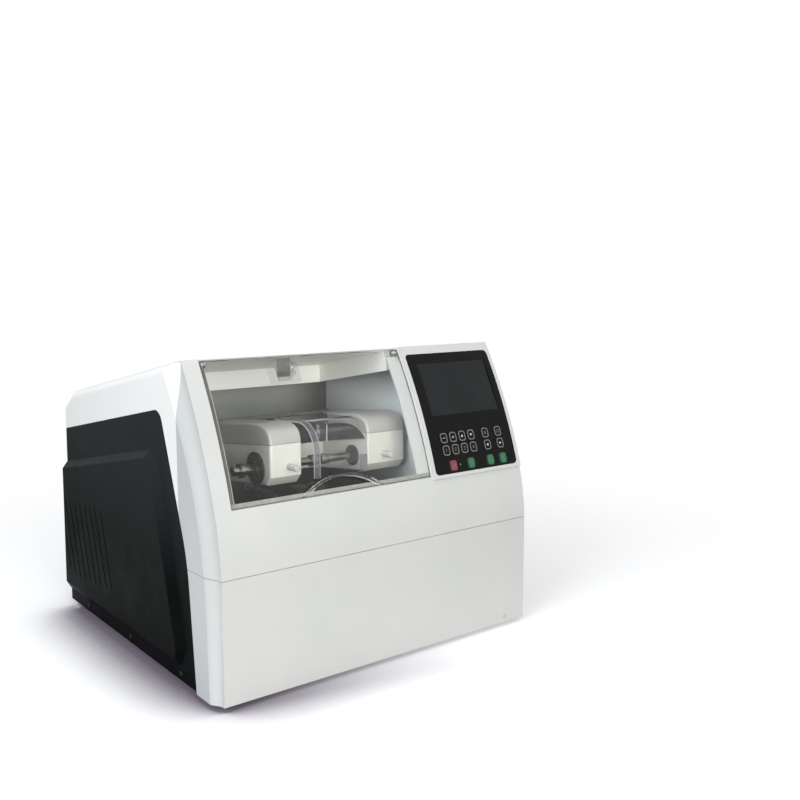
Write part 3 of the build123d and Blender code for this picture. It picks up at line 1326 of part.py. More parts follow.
PIECES = {
    "base_casting": base_casting,
    "rubber_feet": rubber_feet,
    "lower_front_cover": lower_front_cover,
    "upper_cover": upper_cover,
    "panel_screws": panel_screws,
    "rear_panel": rear_panel,
    "power_inlet": power_inlet,
    "power_rocker": power_rocker,
    "water_fittings": water_fittings,
    "chamber_tub": chamber_tub,
    "chamber_door": chamber_door,
    "hinge_pins": hinge_pins,
    "door_handle": door_handle,
    "door_block": door_block,
    "door_magnet": door_magnet,
    "console_panel": console_panel,
    "keypad_board": keypad_board,
    "lcd_module": lcd_module,
    "carriage_frame": carriage_frame,
    "left_head_body": left_head_body,
    "right_head_body": right_head_body,
    "head_pegs": head_pegs,
    "shaft_flanges": shaft_flanges,
    "left_lens_shaft": left_lens_shaft,
    "clamp_quill": clamp_quill,
    "right_lens_shaft": right_lens_shaft,
    "clamp_pad": clamp_pad,
    "guard_bracket": guard_bracket,
    "splash_guard": splash_guard,
    "slide_block": slide_block,
    "pivot_shaft": pivot_shaft,
    "guide_rods": guide_rods,
    "traverse_motor": traverse_motor,
    "spindle_housing": spindle_housing,
    "grinding_wheels": grinding_wheels,
    "wheel_spindle": wheel_spindle,
    "drive_motor": drive_motor,
    "motor_pulley": motor_pulley,
    "drive_belt": drive_belt,
    "power_supply": power_supply,
    "control_board": control_board,
}

for node, make in PIECES.items():
    keep(node, make())
keep("left_side_panel", side_panel(-1))
keep("right_side_panel", side_panel(1))
keep("head_caps", Compound([head_half(LEFT_HEAD, upper=True), head_half(RIGHT_HEAD, upper=True)]))
for node, x, z in key_places():
    keep(node, key(x, z))
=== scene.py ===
from math import asin, cos, degrees, pi, radians, sin

import bmesh
import bpy
from mathutils import Matrix, Vector


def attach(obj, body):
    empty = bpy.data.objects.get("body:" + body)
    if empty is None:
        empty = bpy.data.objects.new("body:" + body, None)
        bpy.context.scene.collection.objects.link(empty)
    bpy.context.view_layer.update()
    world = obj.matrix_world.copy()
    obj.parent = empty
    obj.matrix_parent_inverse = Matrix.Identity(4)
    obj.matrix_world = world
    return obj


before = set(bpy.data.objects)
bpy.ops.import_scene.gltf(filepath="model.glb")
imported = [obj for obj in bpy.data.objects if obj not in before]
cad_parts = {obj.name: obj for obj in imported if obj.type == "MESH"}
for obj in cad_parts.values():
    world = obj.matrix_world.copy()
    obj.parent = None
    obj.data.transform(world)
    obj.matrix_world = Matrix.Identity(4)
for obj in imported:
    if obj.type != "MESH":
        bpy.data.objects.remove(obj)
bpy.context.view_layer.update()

MM = 0.001
CASE_DEPTH_MM = 563.0
FOOT_MM = 8.0
UPRIGHT_MM = 165.0  # the front face stands upright to here
KNEE_R_MM = 363.0  # then leans back along this arc
KNEE_LEAN = 17.0
BROW_R_MM = 839.0  # and along this one to the roof
KNEE_TOP_MM = UPRIGHT_MM + KNEE_R_MM * sin(radians(KNEE_LEAN))
BROW_Y_MM = KNEE_R_MM + (BROW_R_MM - KNEE_R_MM) * cos(radians(KNEE_LEAN))
BROW_Z_MM = UPRIGHT_MM - (BROW_R_MM - KNEE_R_MM) * sin(radians(KNEE_LEAN))


def at(x, y, z):
    """A point of the machine, from millimetres on the case to metres in the frame."""
    return Vector((x, y - CASE_DEPTH_MM / 2, z + FOOT_MM)) * MM


def lean_at(z):
    """How far the front surface leans back at a height, in degrees."""
    if z <= UPRIGHT_MM:
        return 0.0
    if z <= KNEE_TOP_MM:
        return degrees(asin((z - UPRIGHT_MM) / KNEE_R_MM))
    return degrees(asin((z - BROW_Z_MM) / BROW_R_MM))


def on_front(x, z, proud):
    """Places a flat drawing on the front surface: its X to the right, Y up the slope, Z out."""
    lean = radians(lean_at(z))
    if lean_at(z) <= KNEE_LEAN:
        radius, y0, z0 = KNEE_R_MM, KNEE_R_MM, min(z, UPRIGHT_MM)
    else:
        radius, y0, z0 = BROW_R_MM, BROW_Y_MM, BROW_Z_MM
    reach = radius + proud
    origin = at(x, y0 - reach * cos(lean), z0 + reach * sin(lean))
    right, out = Vector((1, 0, 0)), Vector((0, -cos(lean), sin(lean)))
    turn = Matrix((right, out.cross(right), out)).transposed()
    return Matrix.Translation(origin) @ turn.to_4x4()


# ---- Camera ----

CAMERA_PLACE = (-0.8572, -1.3941, 0.5915)
CAMERA_FALL = 7.45  # degrees that it looks down
CAMERA_TURN = 38.16  # and to the right of straight on
CAMERA_LENS = 42.83  # focal length in millimetres
CAMERA_FRAME = 36.0  # on a frame this wide


def set_camera():
    """The photograph's view: a little above the machine, to the left of its front."""
    data = bpy.data.cameras.new("photo_view")
    data.lens = CAMERA_LENS
    data.sensor_width = CAMERA_FRAME
    camera = bpy.data.objects.new("photo_view", data)
    camera.location = CAMERA_PLACE
    camera.rotation_euler = (radians(90 - CAMERA_FALL), 0, radians(-CAMERA_TURN))
    bpy.context.scene.collection.objects.link(camera)
    bpy.context.scene.camera = camera


set_camera()


# ---- Finishes ----

ROOF_FALL = 11.1
ROOF_CREST_MM = (104.6, 467.0)  # y and z of the roof's front edge
SKIN_MM = 1.5  # what lies deeper than this under the roof's top face gets the painted light inside the cover
PAINTED_SHEEN_MM = (120.0, 330.0)  # painted sheen: the black panels turn greyer between these heights
PAINTED_CORNER_SHADE_MM = (10.0, 112.0)  # painted shade on the back wall deepens between these x, towards the right corner
PAINTED_WALL_LIGHT_MM = (420.0, 370.0)  # painted light: the right wall turns paler between these heights, downwards
PAINTED_LOW_SHADE_MM = (285.0, 200.0)  # and all the walls turn darker between these, a painted shade under the heads
SQUARE_ON = 0.9  # a face looks along a direction when their cosine is above this
FROST = 0.85  # how much of a sawn edge's look is its frost
NOISE_SPAN = (0.3, 0.7)  # most of a noise texture's values lie between these
FACTOR, UNDER, OVER, MIXED = 0, 6, 7, 2  # the sockets of a colour mix, whose names repeat
X, Y, Z = range(3)


def linear(colour):
    """An sRGB hex colour, such as D8D9D6, as the linear colour that shaders use."""
    channels = []
    for i in (0, 2, 4):
        c = int(colour[i : i + 2], 16) / 255
        channels.append(c / 12.92 if c <= 0.04045 else ((c + 0.055) / 1.055) ** 2.4)
    return (*channels, 1.0)


def add(tree, kind, settings=(), links=()):
    """Adds a node; settings are its properties or its inputs' values, links its inputs' sources."""
    node = tree.nodes.new(kind)
    for key, value in dict(settings).items():
        if isinstance(key, str) and hasattr(node, key):
            setattr(node, key, value)
        else:
            node.inputs[key].default_value = value
    for key, source in dict(links).items():
        tree.links.new(source, node.inputs[key])
    return node


def start_finish(name, sockets):
    """A material with one Principled shader, and the part's own coordinates for its patterns."""
    material = bpy.data.materials.new(name)
    material.use_nodes = True
    tree = material.node_tree
    tree.nodes.clear()
    shader = add(tree, "ShaderNodeBsdfPrincipled", sockets)
    out = add(tree, "ShaderNodeOutputMaterial", links={"Surface": shader.outputs[0]})
    place = add(tree, "ShaderNodeTexCoord").outputs["Object"]
    return material, tree, shader, out, place


def per_mm(size):
    """A texture's scale for a pattern of this size in millimetres."""
    return 1.0 / (size * MM)


def mottle(tree, place, size, dark, light, detail=3.0):
    """Two sRGB colours in soft patches of a size in millimetres."""
    grains = {"Scale": per_mm(size), "Detail": detail}
    noise = add(tree, "ShaderNodeTexNoise", grains, {"Vector": place})
    blend = add(tree, "ShaderNodeValToRGB", links={"Fac": noise.outputs[0]})
    for end, position, colour in zip(blend.color_ramp.elements, NOISE_SPAN, (dark, light)):
        end.position = position
        end.color = linear(colour)
    return blend.outputs[0]


def mottled(tree, place, shader, size, dark, light, detail=3.0):
    """Gives a shader two sRGB colours in soft patches of a size in millimetres."""
    colour = mottle(tree, place, size, dark, light, detail)
    tree.links.new(colour, shader.inputs["Base Color"])


def uneven_gloss(tree, place, shader, size, low, high):
    """Roughness that wanders between two values over patches of a size in millimetres."""
    noise = add(tree, "ShaderNodeTexNoise", {"Scale": per_mm(size), "Detail": 4.0}, {"Vector": place})
    spread = {"From Min": NOISE_SPAN[0], "From Max": NOISE_SPAN[1], "To Min": low, "To Max": high}
    level = add(tree, "ShaderNodeMapRange", spread, {"Value": noise.outputs[0]})
    tree.links.new(level.outputs[0], shader.inputs["Roughness"])


def grain(tree, place, shader, size, height, edge=0.0, cells=False):
    """Relief of a size in millimetres on the surface, with its sharp edges rounded by edge."""
    if cells:
        relief = add(tree, "ShaderNodeTexVoronoi", {"Scale": per_mm(size)}, {"Vector": place})
    else:
        noise = {"Scale": per_mm(size), "Detail": 3.0}
        relief = add(tree, "ShaderNodeTexNoise", noise, {"Vector": place})
    depth = {"Strength": 1.0, "Distance": height * MM}
    bump = add(tree, "ShaderNodeBump", depth, {"Height": relief.outputs[0]})
    if edge:
        rounded = add(tree, "ShaderNodeBevel", {"samples": 4, "Radius": edge * MM})
        tree.links.new(rounded.outputs[0], bump.inputs["Normal"])
    tree.links.new(bump.outputs[0], shader.inputs["Normal"])


def facing(tree, direction):
    """1 on the faces that look along a direction, and 0 on the others."""
    normal = add(tree, "ShaderNodeTexCoord").outputs["Normal"]
    along = add(tree, "ShaderNodeVectorMath", {"operation": "DOT_PRODUCT", 1: direction}, {0: normal})
    limit = {"operation": "GREATER_THAN", 1: SQUARE_ON}
    return add(tree, "ShaderNodeMath", limit, {0: along.outputs["Value"]}).outputs[0]


def painted_light_ramp(tree, place, colour, cover, axis, span, only=None):
    """A colour under another one that thickens along an axis between two places in millimetres;
    only is 1 on the faces that it keeps to. It lays painted light and shade."""
    start, end = (at(mark, mark, mark)[axis] for mark in span)
    along = add(tree, "ShaderNodeSeparateXYZ", links={0: place}).outputs[axis]
    soft = {"From Min": start, "From Max": end, "interpolation_type": "SMOOTHSTEP"}
    share = add(tree, "ShaderNodeMapRange", soft, {"Value": along}).outputs[0]
    if only is not None:
        share = add(tree, "ShaderNodeMath", {"operation": "MULTIPLY"}, {0: share, 1: only}).outputs[0]
    layer = {"data_type": "RGBA", OVER: linear(cover)}
    return add(tree, "ShaderNodeMix", layer, {FACTOR: share, UNDER: colour}).outputs[MIXED]


def under_roof(tree, place):
    """1 on the inside of the upper cover, under the roof and behind its front edge, where a
    brighter white is painted light.
    """
    fall = radians(ROOF_FALL)
    crest = at(0, ROOF_CREST_MM[0], ROOF_CREST_MM[1] - SKIN_MM)
    normal = Vector((0.0, sin(fall), cos(fall)))
    height = add(tree, "ShaderNodeVectorMath", {"operation": "DOT_PRODUCT", 1: normal}, {0: place})
    depth = add(tree, "ShaderNodeSeparateXYZ", links={0: place}).outputs[Y]
    is_under = {"operation": "LESS_THAN", 1: normal.dot(crest)}
    under = add(tree, "ShaderNodeMath", is_under, {0: height.outputs["Value"]})
    behind = add(tree, "ShaderNodeMath", {"operation": "GREATER_THAN", 1: crest.y}, {0: depth})
    links = {0: under.outputs[0], 1: behind.outputs[0]}
    return add(tree, "ShaderNodeMath", {"operation": "MULTIPLY"}, links).outputs[0]


def painted_moulding(name, dark, light, low_gloss, high_gloss, inside=None):
    """Injection-moulded ABS under a satin lacquer: an even white with a soft, wide highlight
    and a faint orange peel, drawn 3 mm coarse because the real 0.5 mm wouldn't show. Inside
    the cover, under the roof, a brighter white is painted light."""
    lacquer = {"IOR": 1.5, "Coat Weight": 0.25, "Coat Roughness": 0.2}
    material, tree, shader, _, place = start_finish(name, lacquer)
    colour = mottle(tree, place, 90, dark, light)
    # Painted light: a brighter white inside the cover, under the roof.
    if inside:
        bare = {"data_type": "RGBA", OVER: linear(inside)}
        links = {FACTOR: under_roof(tree, place), UNDER: colour}
        colour = add(tree, "ShaderNodeMix", bare, links).outputs[MIXED]
    tree.links.new(colour, shader.inputs["Base Color"])
    uneven_gloss(tree, place, shader, 45, low_gloss, high_gloss)
    grain(tree, place, shader, 3.0, 0.015, edge=1.0)
    return material


def spark_textured_abs():
    """Black ABS from a spark-eroded mould: a dull, finely pitted skin with a painted sheen that
    turns it greyer towards the top, where the light falls. The pits are drawn 1.2 mm wide,
    twice their real size."""
    dull = {"IOR": 1.52, "Specular IOR Level": 0.03}
    material, tree, shader, _, place = start_finish("spark_textured_abs", dull)
    colour = mottle(tree, place, 60, "060808", "080B0B")
    # Painted sheen: the panels turn greyer towards the top.
    colour = painted_light_ramp(tree, place, colour, "242727", Z, PAINTED_SHEEN_MM)
    tree.links.new(colour, shader.inputs["Base Color"])
    uneven_gloss(tree, place, shader, 40, 0.38, 0.46)
    grain(tree, place, shader, 1.2, 0.012, edge=1.6)
    return material


def printed_polycarbonate():
    """Polycarbonate film printed black on its back: a deep, even black under a semi-gloss skin
    with a very fine emboss, drawn 0.8 mm wide."""
    film = {"IOR": 1.585, "Specular IOR Level": 0.12}
    material, tree, shader, _, place = start_finish("printed_polycarbonate", film)
    mottled(tree, place, shader, 40, "0C0B0A", "11100E")
    uneven_gloss(tree, place, shader, 12, 0.26, 0.34)
    grain(tree, place, shader, 0.8, 0.006)
    return material


def display_glass():
    """Soda-lime cover glass over a dark liquid-crystal panel: a smooth grey-green black with
    clear reflections and a faint cloudiness from the panel behind it."""
    glass = {"IOR": 1.52, "Specular IOR Level": 0.25}
    material, tree, shader, _, place = start_finish("display_glass", glass)
    mottled(tree, place, shader, 55, "171A1A", "1D2020", detail=1.0)
    uneven_gloss(tree, place, shader, 30, 0.07, 0.12)
    return material


def cast_acrylic(name, tint, sawn=None):
    """Clear cast acrylic: nearly invisible face on, with mirror glints on its bends. Its sawn
    edges, the faces that look sideways, are frosted grey. The index is below acrylic's 1.49,
    because the real door hardly mirrors the room."""
    polished = {"Base Color": linear(tint), "IOR": 1.37, "Transmission Weight": 1.0}
    material, tree, shader, out, place = start_finish(name, polished)
    uneven_gloss(tree, place, shader, 60, 0.005, 0.02)
    clear = add(tree, "ShaderNodeBsdfTransparent", {"Color": (0.98, 0.985, 0.98, 1.0)})
    rays = add(tree, "ShaderNodeLightPath").outputs
    links = {0: rays["Is Shadow Ray"], 1: rays["Is Diffuse Ray"]}
    lit = add(tree, "ShaderNodeMath", {"operation": "MAXIMUM"}, links)
    links = {0: lit.outputs[0], 1: shader.outputs[0], 2: clear.outputs[0]}
    sheet = add(tree, "ShaderNodeMixShader", links=links)
    if sawn:
        frost = {"Base Color": linear(sawn), "Roughness": 0.45, "IOR": 1.49}
        frosted = add(tree, "ShaderNodeBsdfPrincipled", frost)
        normal = add(tree, "ShaderNodeTexCoord").outputs["Normal"]
        side = add(tree, "ShaderNodeSeparateXYZ", links={0: normal}).outputs[X]
        across = add(tree, "ShaderNodeMath", {"operation": "ABSOLUTE"}, {0: side}).outputs[0]
        limit = {"operation": "GREATER_THAN", 1: SQUARE_ON}
        is_edge = add(tree, "ShaderNodeMath", limit, {0: across}).outputs[0]
        part = add(tree, "ShaderNodeMath", {"operation": "MULTIPLY", 1: FROST}, {0: is_edge})
        links = {0: part.outputs[0], 1: sheet.outputs[0], 2: frosted.outputs[0]}
        sheet = add(tree, "ShaderNodeMixShader", links=links)
    tree.links.new(sheet.outputs[0], out.inputs["Surface"])
    return material


def clouded_acrylic(name, dark, light, share):
    """Clear acrylic with a scuffed or cemented face: it veils what is behind it with a thin,
    even grey and hardly bends it."""
    material, tree, shader, out, place = start_finish(name, {"IOR": 1.49})
    mottled(tree, place, shader, 6, dark, light)
    uneven_gloss(tree, place, shader, 8, 0.12, 0.3)
    clear = add(tree, "ShaderNodeBsdfTransparent", {"Color": (0.93, 0.93, 0.93, 1.0)})
    scuffs = add(tree, "ShaderNodeTexNoise", {"Scale": per_mm(3), "Detail": 4.0}, {"Vector": place})
    spread = {"From Min": NOISE_SPAN[0], "From Max": NOISE_SPAN[1]}
    spread |= {"To Min": share * 0.8, "To Max": share * 1.2}
    level = add(tree, "ShaderNodeMapRange", spread, {"Value": scuffs.outputs[0]})
    links = {0: level.outputs[0], 1: clear.outputs[0], 2: shader.outputs[0]}
    veil = add(tree, "ShaderNodeMixShader", links=links)
    tree.links.new(veil.outputs[0], out.inputs["Surface"])
    return material


def turned_steel():
    """Ground stainless steel bar: a bright metal whose highlight is broken along its length by
    faint turning marks, drawn 2 mm apart in place of the real 0.1 mm."""
    material, tree, shader, _, place = start_finish("turned_steel", {"Metallic": 1.0})
    # The bands repeat every 0.31 of the texture's size.
    marks = {"wave_type": "BANDS", "bands_direction": "X", "Scale": per_mm(6.3)}
    marks |= {"Distortion": 0.4, "Detail": 2.0}
    wave = add(tree, "ShaderNodeTexWave", marks, {"Vector": place})
    spread = {"To Min": 0.12, "To Max": 0.24}
    level = add(tree, "ShaderNodeMapRange", spread, {"Value": wave.outputs[1]})
    tree.links.new(level.outputs[0], shader.inputs["Roughness"])
    mottled(tree, place, shader, 14, "7F7C77", "A19D97")
    return material


def blackened_steel():
    """Steel with an oiled black oxide: a dark metal, brownish in its worn patches."""
    material, tree, shader, _, place = start_finish("blackened_steel", {"Metallic": 0.75})
    mottled(tree, place, shader, 7, "34332F", "55534D", detail=6.0)
    uneven_gloss(tree, place, shader, 5, 0.22, 0.4)
    return material


def sand_cast_aluminium(name, dark, light, metal):
    """Sand-cast aluminium, bare or painted: a pebbled skin of 1.5 mm grains that dulls the light."""
    material, tree, shader, _, place = start_finish(name, {"Metallic": metal})
    mottled(tree, place, shader, 20, dark, light)
    uneven_gloss(tree, place, shader, 6, 0.38, 0.52)
    grain(tree, place, shader, 1.5, 0.06, edge=0.8, cells=True)
    return material


def sheet_paint(name, dark, light, gloss):
    """Powder coat on steel sheet: one colour with an even orange peel of 1.5 mm dimples."""
    material, tree, shader, _, place = start_finish(name, {"IOR": 1.5})
    mottled(tree, place, shader, 35, dark, light)
    uneven_gloss(tree, place, shader, 15, gloss - 0.04, gloss + 0.05)
    grain(tree, place, shader, 1.5, 0.02, edge=0.5)
    return material


def moulded_plastic(name, dark, light, gloss, size=2.0, relief=0.012):
    """Plain plastic, moulded, extruded or sawn: soft patches of colour and a fine matt skin."""
    material, tree, shader, _, place = start_finish(name, {"IOR": 1.49})
    mottled(tree, place, shader, 30, dark, light)
    uneven_gloss(tree, place, shader, 18, gloss - 0.05, gloss + 0.05)
    grain(tree, place, shader, size, relief, edge=0.5)
    return material


def polypropylene_with_painted_light():
    """Moulded grey polypropylene in a wet chamber, with light and shade painted on: painted shade
    darkens the low walls under the heads and the right end of the back wall, and painted light
    makes the right wall paler."""
    material, tree, shader, _, place = start_finish("moulded_polypropylene", {"IOR": 1.49})
    back_wall = facing(tree, (0, -1, 0))
    right_wall = facing(tree, (-1, 0, 0))
    colour = mottle(tree, place, 30, "868886", "8E908E")
    # Painted shade: the back wall darkens towards the right corner.
    colour = painted_light_ramp(tree, place, colour, "3F413E", X, PAINTED_CORNER_SHADE_MM, back_wall)
    # Painted light: the right wall is paler, and paler still lower down.
    pale = {"data_type": "RGBA", OVER: linear("AEB2B3")}
    colour = add(tree, "ShaderNodeMix", pale, {FACTOR: right_wall, UNDER: colour}).outputs[MIXED]
    colour = painted_light_ramp(tree, place, colour, "E2E6E7", Z, PAINTED_WALL_LIGHT_MM, right_wall)
    # Painted shade: all the walls darken low in the chamber, under the heads.
    colour = painted_light_ramp(tree, place, colour, "292926", Z, PAINTED_LOW_SHADE_MM)
    tree.links.new(colour, shader.inputs["Base Color"])
    uneven_gloss(tree, place, shader, 18, 0.3, 0.42)
    grain(tree, place, shader, 2.0, 0.012, edge=0.5)
    return material


def lacquered_black():
    """Steel plate under a gloss black enamel: nearly black, with a clear bright line wherever a
    bend catches a lamp."""
    enamel = {"IOR": 1.52, "Coat Weight": 0.6, "Coat Roughness": 0.08}
    material, tree, shader, _, place = start_finish("lacquered_black", enamel)
    mottled(tree, place, shader, 25, "232226", "343238")
    uneven_gloss(tree, place, shader, 12, 0.14, 0.24)
    return material


def moulded_rubber(name, dark, light):
    """Nitrile rubber or foam: dull, paler where it is rubbed, with a 1 mm skin texture."""
    material, tree, shader, _, place = start_finish(name, {"IOR": 1.52, "Specular IOR Level": 0.35})
    mottled(tree, place, shader, 9, dark, light)
    uneven_gloss(tree, place, shader, 4, 0.68, 0.82)
    grain(tree, place, shader, 1.0, 0.03)
    return material


def sintered_diamond():
    """Diamond grit in sintered steel powder: a dull dark rim that sparkles in single grains,
    drawn 0.9 mm wide in place of the real 0.1 mm."""
    material, tree, shader, _, place = start_finish("sintered_diamond", {"Metallic": 0.85})
    cells = add(tree, "ShaderNodeTexVoronoi", {"Scale": per_mm(0.9)}, {"Vector": place})
    grit = add(tree, "ShaderNodeValToRGB", links={"Fac": cells.outputs[0]})
    middle, rim = grit.color_ramp.elements
    middle.color = linear("5E5A52")
    rim.color = linear("2B2927")
    tree.links.new(grit.outputs[0], shader.inputs["Base Color"])
    uneven_gloss(tree, place, shader, 2, 0.45, 0.7)
    grain(tree, place, shader, 0.9, 0.08, cells=True)
    return material


def glass_laminate():
    """Green lacquered circuit board: copper lanes 3 mm apart show through as lighter lines."""
    material, tree, shader, _, place = start_finish("glass_laminate", {"IOR": 1.5})
    lanes = {"Scale": per_mm(12), "Mortar Size": 0.04, "Brick Width": 0.9, "Row Height": 0.25}
    lanes |= {"Color1": linear("0F4A2A"), "Color2": linear("125231"), "Mortar": linear("2E7A4C")}
    brick = add(tree, "ShaderNodeTexBrick", lanes, {"Vector": place})
    tree.links.new(brick.outputs[0], shader.inputs["Base Color"])
    uneven_gloss(tree, place, shader, 10, 0.25, 0.4)
    return material


def sintered_magnet():
    """Sintered ferrite, broken and ground: a mottled dark grey with light specks of 1.5 mm."""
    material, tree, shader, _, place = start_finish("sintered_magnet", {"IOR": 1.6})
    mottled(tree, place, shader, 3.0, "3A3937", "6F6D69", detail=8.0)
    uneven_gloss(tree, place, shader, 3, 0.4, 0.6)
    grain(tree, place, shader, 1.5, 0.05)
    return material


def key_film(name, dark, light):
    """Coloured screen print under the embossed film of a key, slightly cloudy where the ink is thin."""
    material, tree, shader, _, place = start_finish(name, {"IOR": 1.585})
    mottled(tree, place, shader, 5, dark, light)
    uneven_gloss(tree, place, shader, 6, 0.3, 0.42)
    grain(tree, place, shader, 0.8, 0.006, edge=0.8)
    return material


def screen_ink(name, dark, light):
    """Matt screen-printing ink: a grey line that is a little uneven over the film's emboss."""
    material, tree, shader, _, place = start_finish(name, {"IOR": 1.5})
    mottled(tree, place, shader, 2.5, dark, light)
    uneven_gloss(tree, place, shader, 3, 0.45, 0.6)
    return material


# Its last colour, F8F7F3, is painted light inside the cover, under the roof.
lacquered_white = painted_moulding("lacquered_white_abs", "C2C3C1", "C6C6C4", 0.3, 0.38, "F8F7F3")
panel_black = spark_textured_abs()
head_white = painted_moulding("lacquered_head_abs", "DEDBD4", "E2E0D9", 0.3, 0.4)
cap_white = painted_moulding("lacquered_cap_abs", "B3AFAB", "B9B5B1", 0.3, 0.4)
peg_white = moulded_plastic("moulded_peg_nylon", "BDBBB0", "C9C7BD", 0.3)
console_black = printed_polycarbonate()
screen = display_glass()
door_acrylic = cast_acrylic("cast_acrylic_sheet", "FBFCFB", "4A4B49")
guard_acrylic = cast_acrylic("bent_acrylic_sheet", "F6F5F7", "DAD9D8")
cemented_acrylic = clouded_acrylic("cemented_acrylic", "A5A49F", "BFBEB9", 0.09)
scuffed_acrylic = clouded_acrylic("scuffed_acrylic", "747377", "8F8E92", 0.34)
block_acrylic = cast_acrylic("cast_acrylic_block", "F4F6F5")
steel = turned_steel()
black_steel = blackened_steel()
bare_casting = sand_cast_aluminium("sand_cast_aluminium", "94969A", "A9ABAC", 0.9)
painted_casting = sand_cast_aluminium("painted_casting", "E4E2DC", "ECEAE5", 0.0)
tub_grey = polypropylene_with_painted_light()
pipe_grey = moulded_plastic("extruded_pvc", "717476", "7B7E80", 0.42)
sheet_grey = sheet_paint("powder_coated_sheet", "85888A", "8F9293", 0.48)
motor_black = sheet_paint("stoved_enamel", "18191A", "1E1F21", 0.35)
nylon_black = moulded_plastic("moulded_nylon", "121212", "181817", 0.5, 1.2, 0.03)
rubber = moulded_rubber("moulded_rubber", "171716", "262524")
diamond = sintered_diamond()
magnet = sintered_magnet()
bracket_black = lacquered_black()
edge_grey = moulded_plastic("sawn_acrylic_edge", "4B4B49", "5C5C5A", 0.45)
plug_grey = moulded_plastic("moulded_plug", "A9A9A7", "B4B4B2", 0.35)
board_green = glass_laminate()
green_film = key_film("green_key_film", "1C5A38", "26704A")
red_film = key_film("red_key_film", "702F36", "82393F")
grey_ink = screen_ink("grey_screen_ink", "5E5E5C", "70706E")
pale_ink = screen_ink("pale_screen_ink", "BEBEB9", "D5D5D0")
milky_lens = moulded_plastic("moulded_acrylic_lens", "B6B6B2", "C4C4C0", 0.3)
sill_grey = moulded_rubber("grey_sill_band", "8E8C87", "A09E99")
dark_foam = moulded_rubber("wet_cell_foam", "55544F", "67655F")

NODE_FINISH = {
    "base_casting": bare_casting,
    "rubber_feet": rubber,
    "lower_front_cover": lacquered_white,
    "upper_cover": lacquered_white,
    "left_side_panel": panel_black,
    "right_side_panel": panel_black,
    "panel_screws": nylon_black,
    "rear_panel": sheet_grey,
    "power_inlet": nylon_black,
    "power_rocker": nylon_black,
    "water_fittings": pipe_grey,
    "chamber_tub": tub_grey,
    "chamber_door": door_acrylic,
    "hinge_pins": peg_white,
    "door_handle": block_acrylic,
    "door_block": cemented_acrylic,
    "door_magnet": cemented_acrylic,
    "console_panel": console_black,
    "keypad_board": board_green,
    "lcd_module": screen,
    "carriage_frame": painted_casting,
    "left_head_body": head_white,
    "right_head_body": head_white,
    "head_caps": cap_white,
    "head_pegs": peg_white,
    "shaft_flanges": black_steel,
    "left_lens_shaft": steel,
    "clamp_quill": steel,
    "right_lens_shaft": steel,
    "clamp_pad": rubber,
    "guard_bracket": bracket_black,
    "splash_guard": guard_acrylic,
    "slide_block": bare_casting,
    "pivot_shaft": steel,
    "guide_rods": steel,
    "traverse_motor": motor_black,
    "spindle_housing": bare_casting,
    "grinding_wheels": diamond,
    "wheel_spindle": steel,
    "drive_motor": motor_black,
    "motor_pulley": steel,
    "drive_belt": rubber,
    "power_supply": sheet_grey,
    "control_board": board_green,
}


def dress_nodes():
    """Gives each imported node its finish; the keys that aren't coloured are black film."""
    for name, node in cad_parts.items():
        finish = NODE_FINISH.get(name, console_black)
        if name.startswith("key_green"):
            finish = green_film
        if name == "key_red_stop":
            finish = red_film
        node.data.materials.clear()
        node.data.materials.append(finish)


dress_nodes()


# ---- Outlines and plates ----


def rounded_rectangle(width, height, radius, steps=6):
    """Corner points of a rounded rectangle about the origin."""
    points = []
    for turn, (sx, sy) in enumerate(((1, 1), (-1, 1), (-1, -1), (1, -1))):
        for i in range(steps + 1):
            angle = (turn + i / steps) * pi / 2
            x = sx * (width / 2 - radius) + radius * cos(angle)
            y = sy * (height / 2 - radius) + radius * sin(angle)
            points.append((x, y))
    return points


def circle(radius, steps=28):
    return [(radius * cos(2 * pi * i / steps), radius * sin(2 * pi * i / steps)) for i in range(steps)]


def bar(x0, y0, x1, y1):
    return [(x0, y0), (x1, y0), (x1, y1), (x0, y1)]


def stroke(start, end, width):
    """A straight pen stroke between two points."""
    along = Vector(end) - Vector(start)
    side = Vector((-along.y, along.x)).normalized() * width / 2
    corners = (Vector(start) - side, Vector(end) - side, Vector(end) + side, Vector(start) + side)
    return [tuple(corner) for corner in corners]


def raise_plate(mesh, outline, hole, low, high):
    """Adds a flat plate with an outline, and a hole in it or None, between two heights."""
    loops = []
    for points in (outline, hole) if hole else (outline,):
        loops.append([[mesh.verts.new((x, y, z)) for x, y in points] for z in (low, high)])
    for k, (bottom, top) in enumerate(loops):
        count = len(bottom)
        for i in range(count):
            j = (i + 1) % count
            side = [bottom[i], bottom[j], top[j], top[i]]
            mesh.faces.new(side if k == 0 else side[::-1])
    if not hole:
        mesh.faces.new(loops[0][1])
        mesh.faces.new(loops[0][0][::-1])
        return
    (out_low, out_high), (in_low, in_high) = loops
    count = len(out_low)
    for i in range(count):
        j = (i + 1) % count
        mesh.faces.new([out_high[i], out_high[j], in_high[j], in_high[i]])
        mesh.faces.new([out_low[j], out_low[i], in_low[i], in_low[j]])


def add_piece(name, mesh, place, finish, body):
    """Turns a drawing in millimetres into a piece on a body."""
    data = bpy.data.meshes.new(name)
    bmesh.ops.scale(mesh, vec=(MM, MM, MM), verts=mesh.verts)
    bmesh.ops.transform(mesh, matrix=place, verts=mesh.verts)
    bmesh.ops.recalc_face_normals(mesh, faces=mesh.faces)
    mesh.to_mesh(data)
    mesh.free()
    data.materials.append(finish)
    piece = bpy.data.objects.new(name, data)
    bpy.context.scene.collection.objects.link(piece)
    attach(piece, body)


def add_plates(name, shapes, low, high, place, finish, body):
    """A piece of flat plates between two heights; each shape is an outline and a hole or None."""
    mesh = bmesh.new()
    for outline, hole in shapes:
        raise_plate(mesh, outline, hole, low, high)
    add_piece(name, mesh, place, finish, body)


# ---- Printing on the keys ----

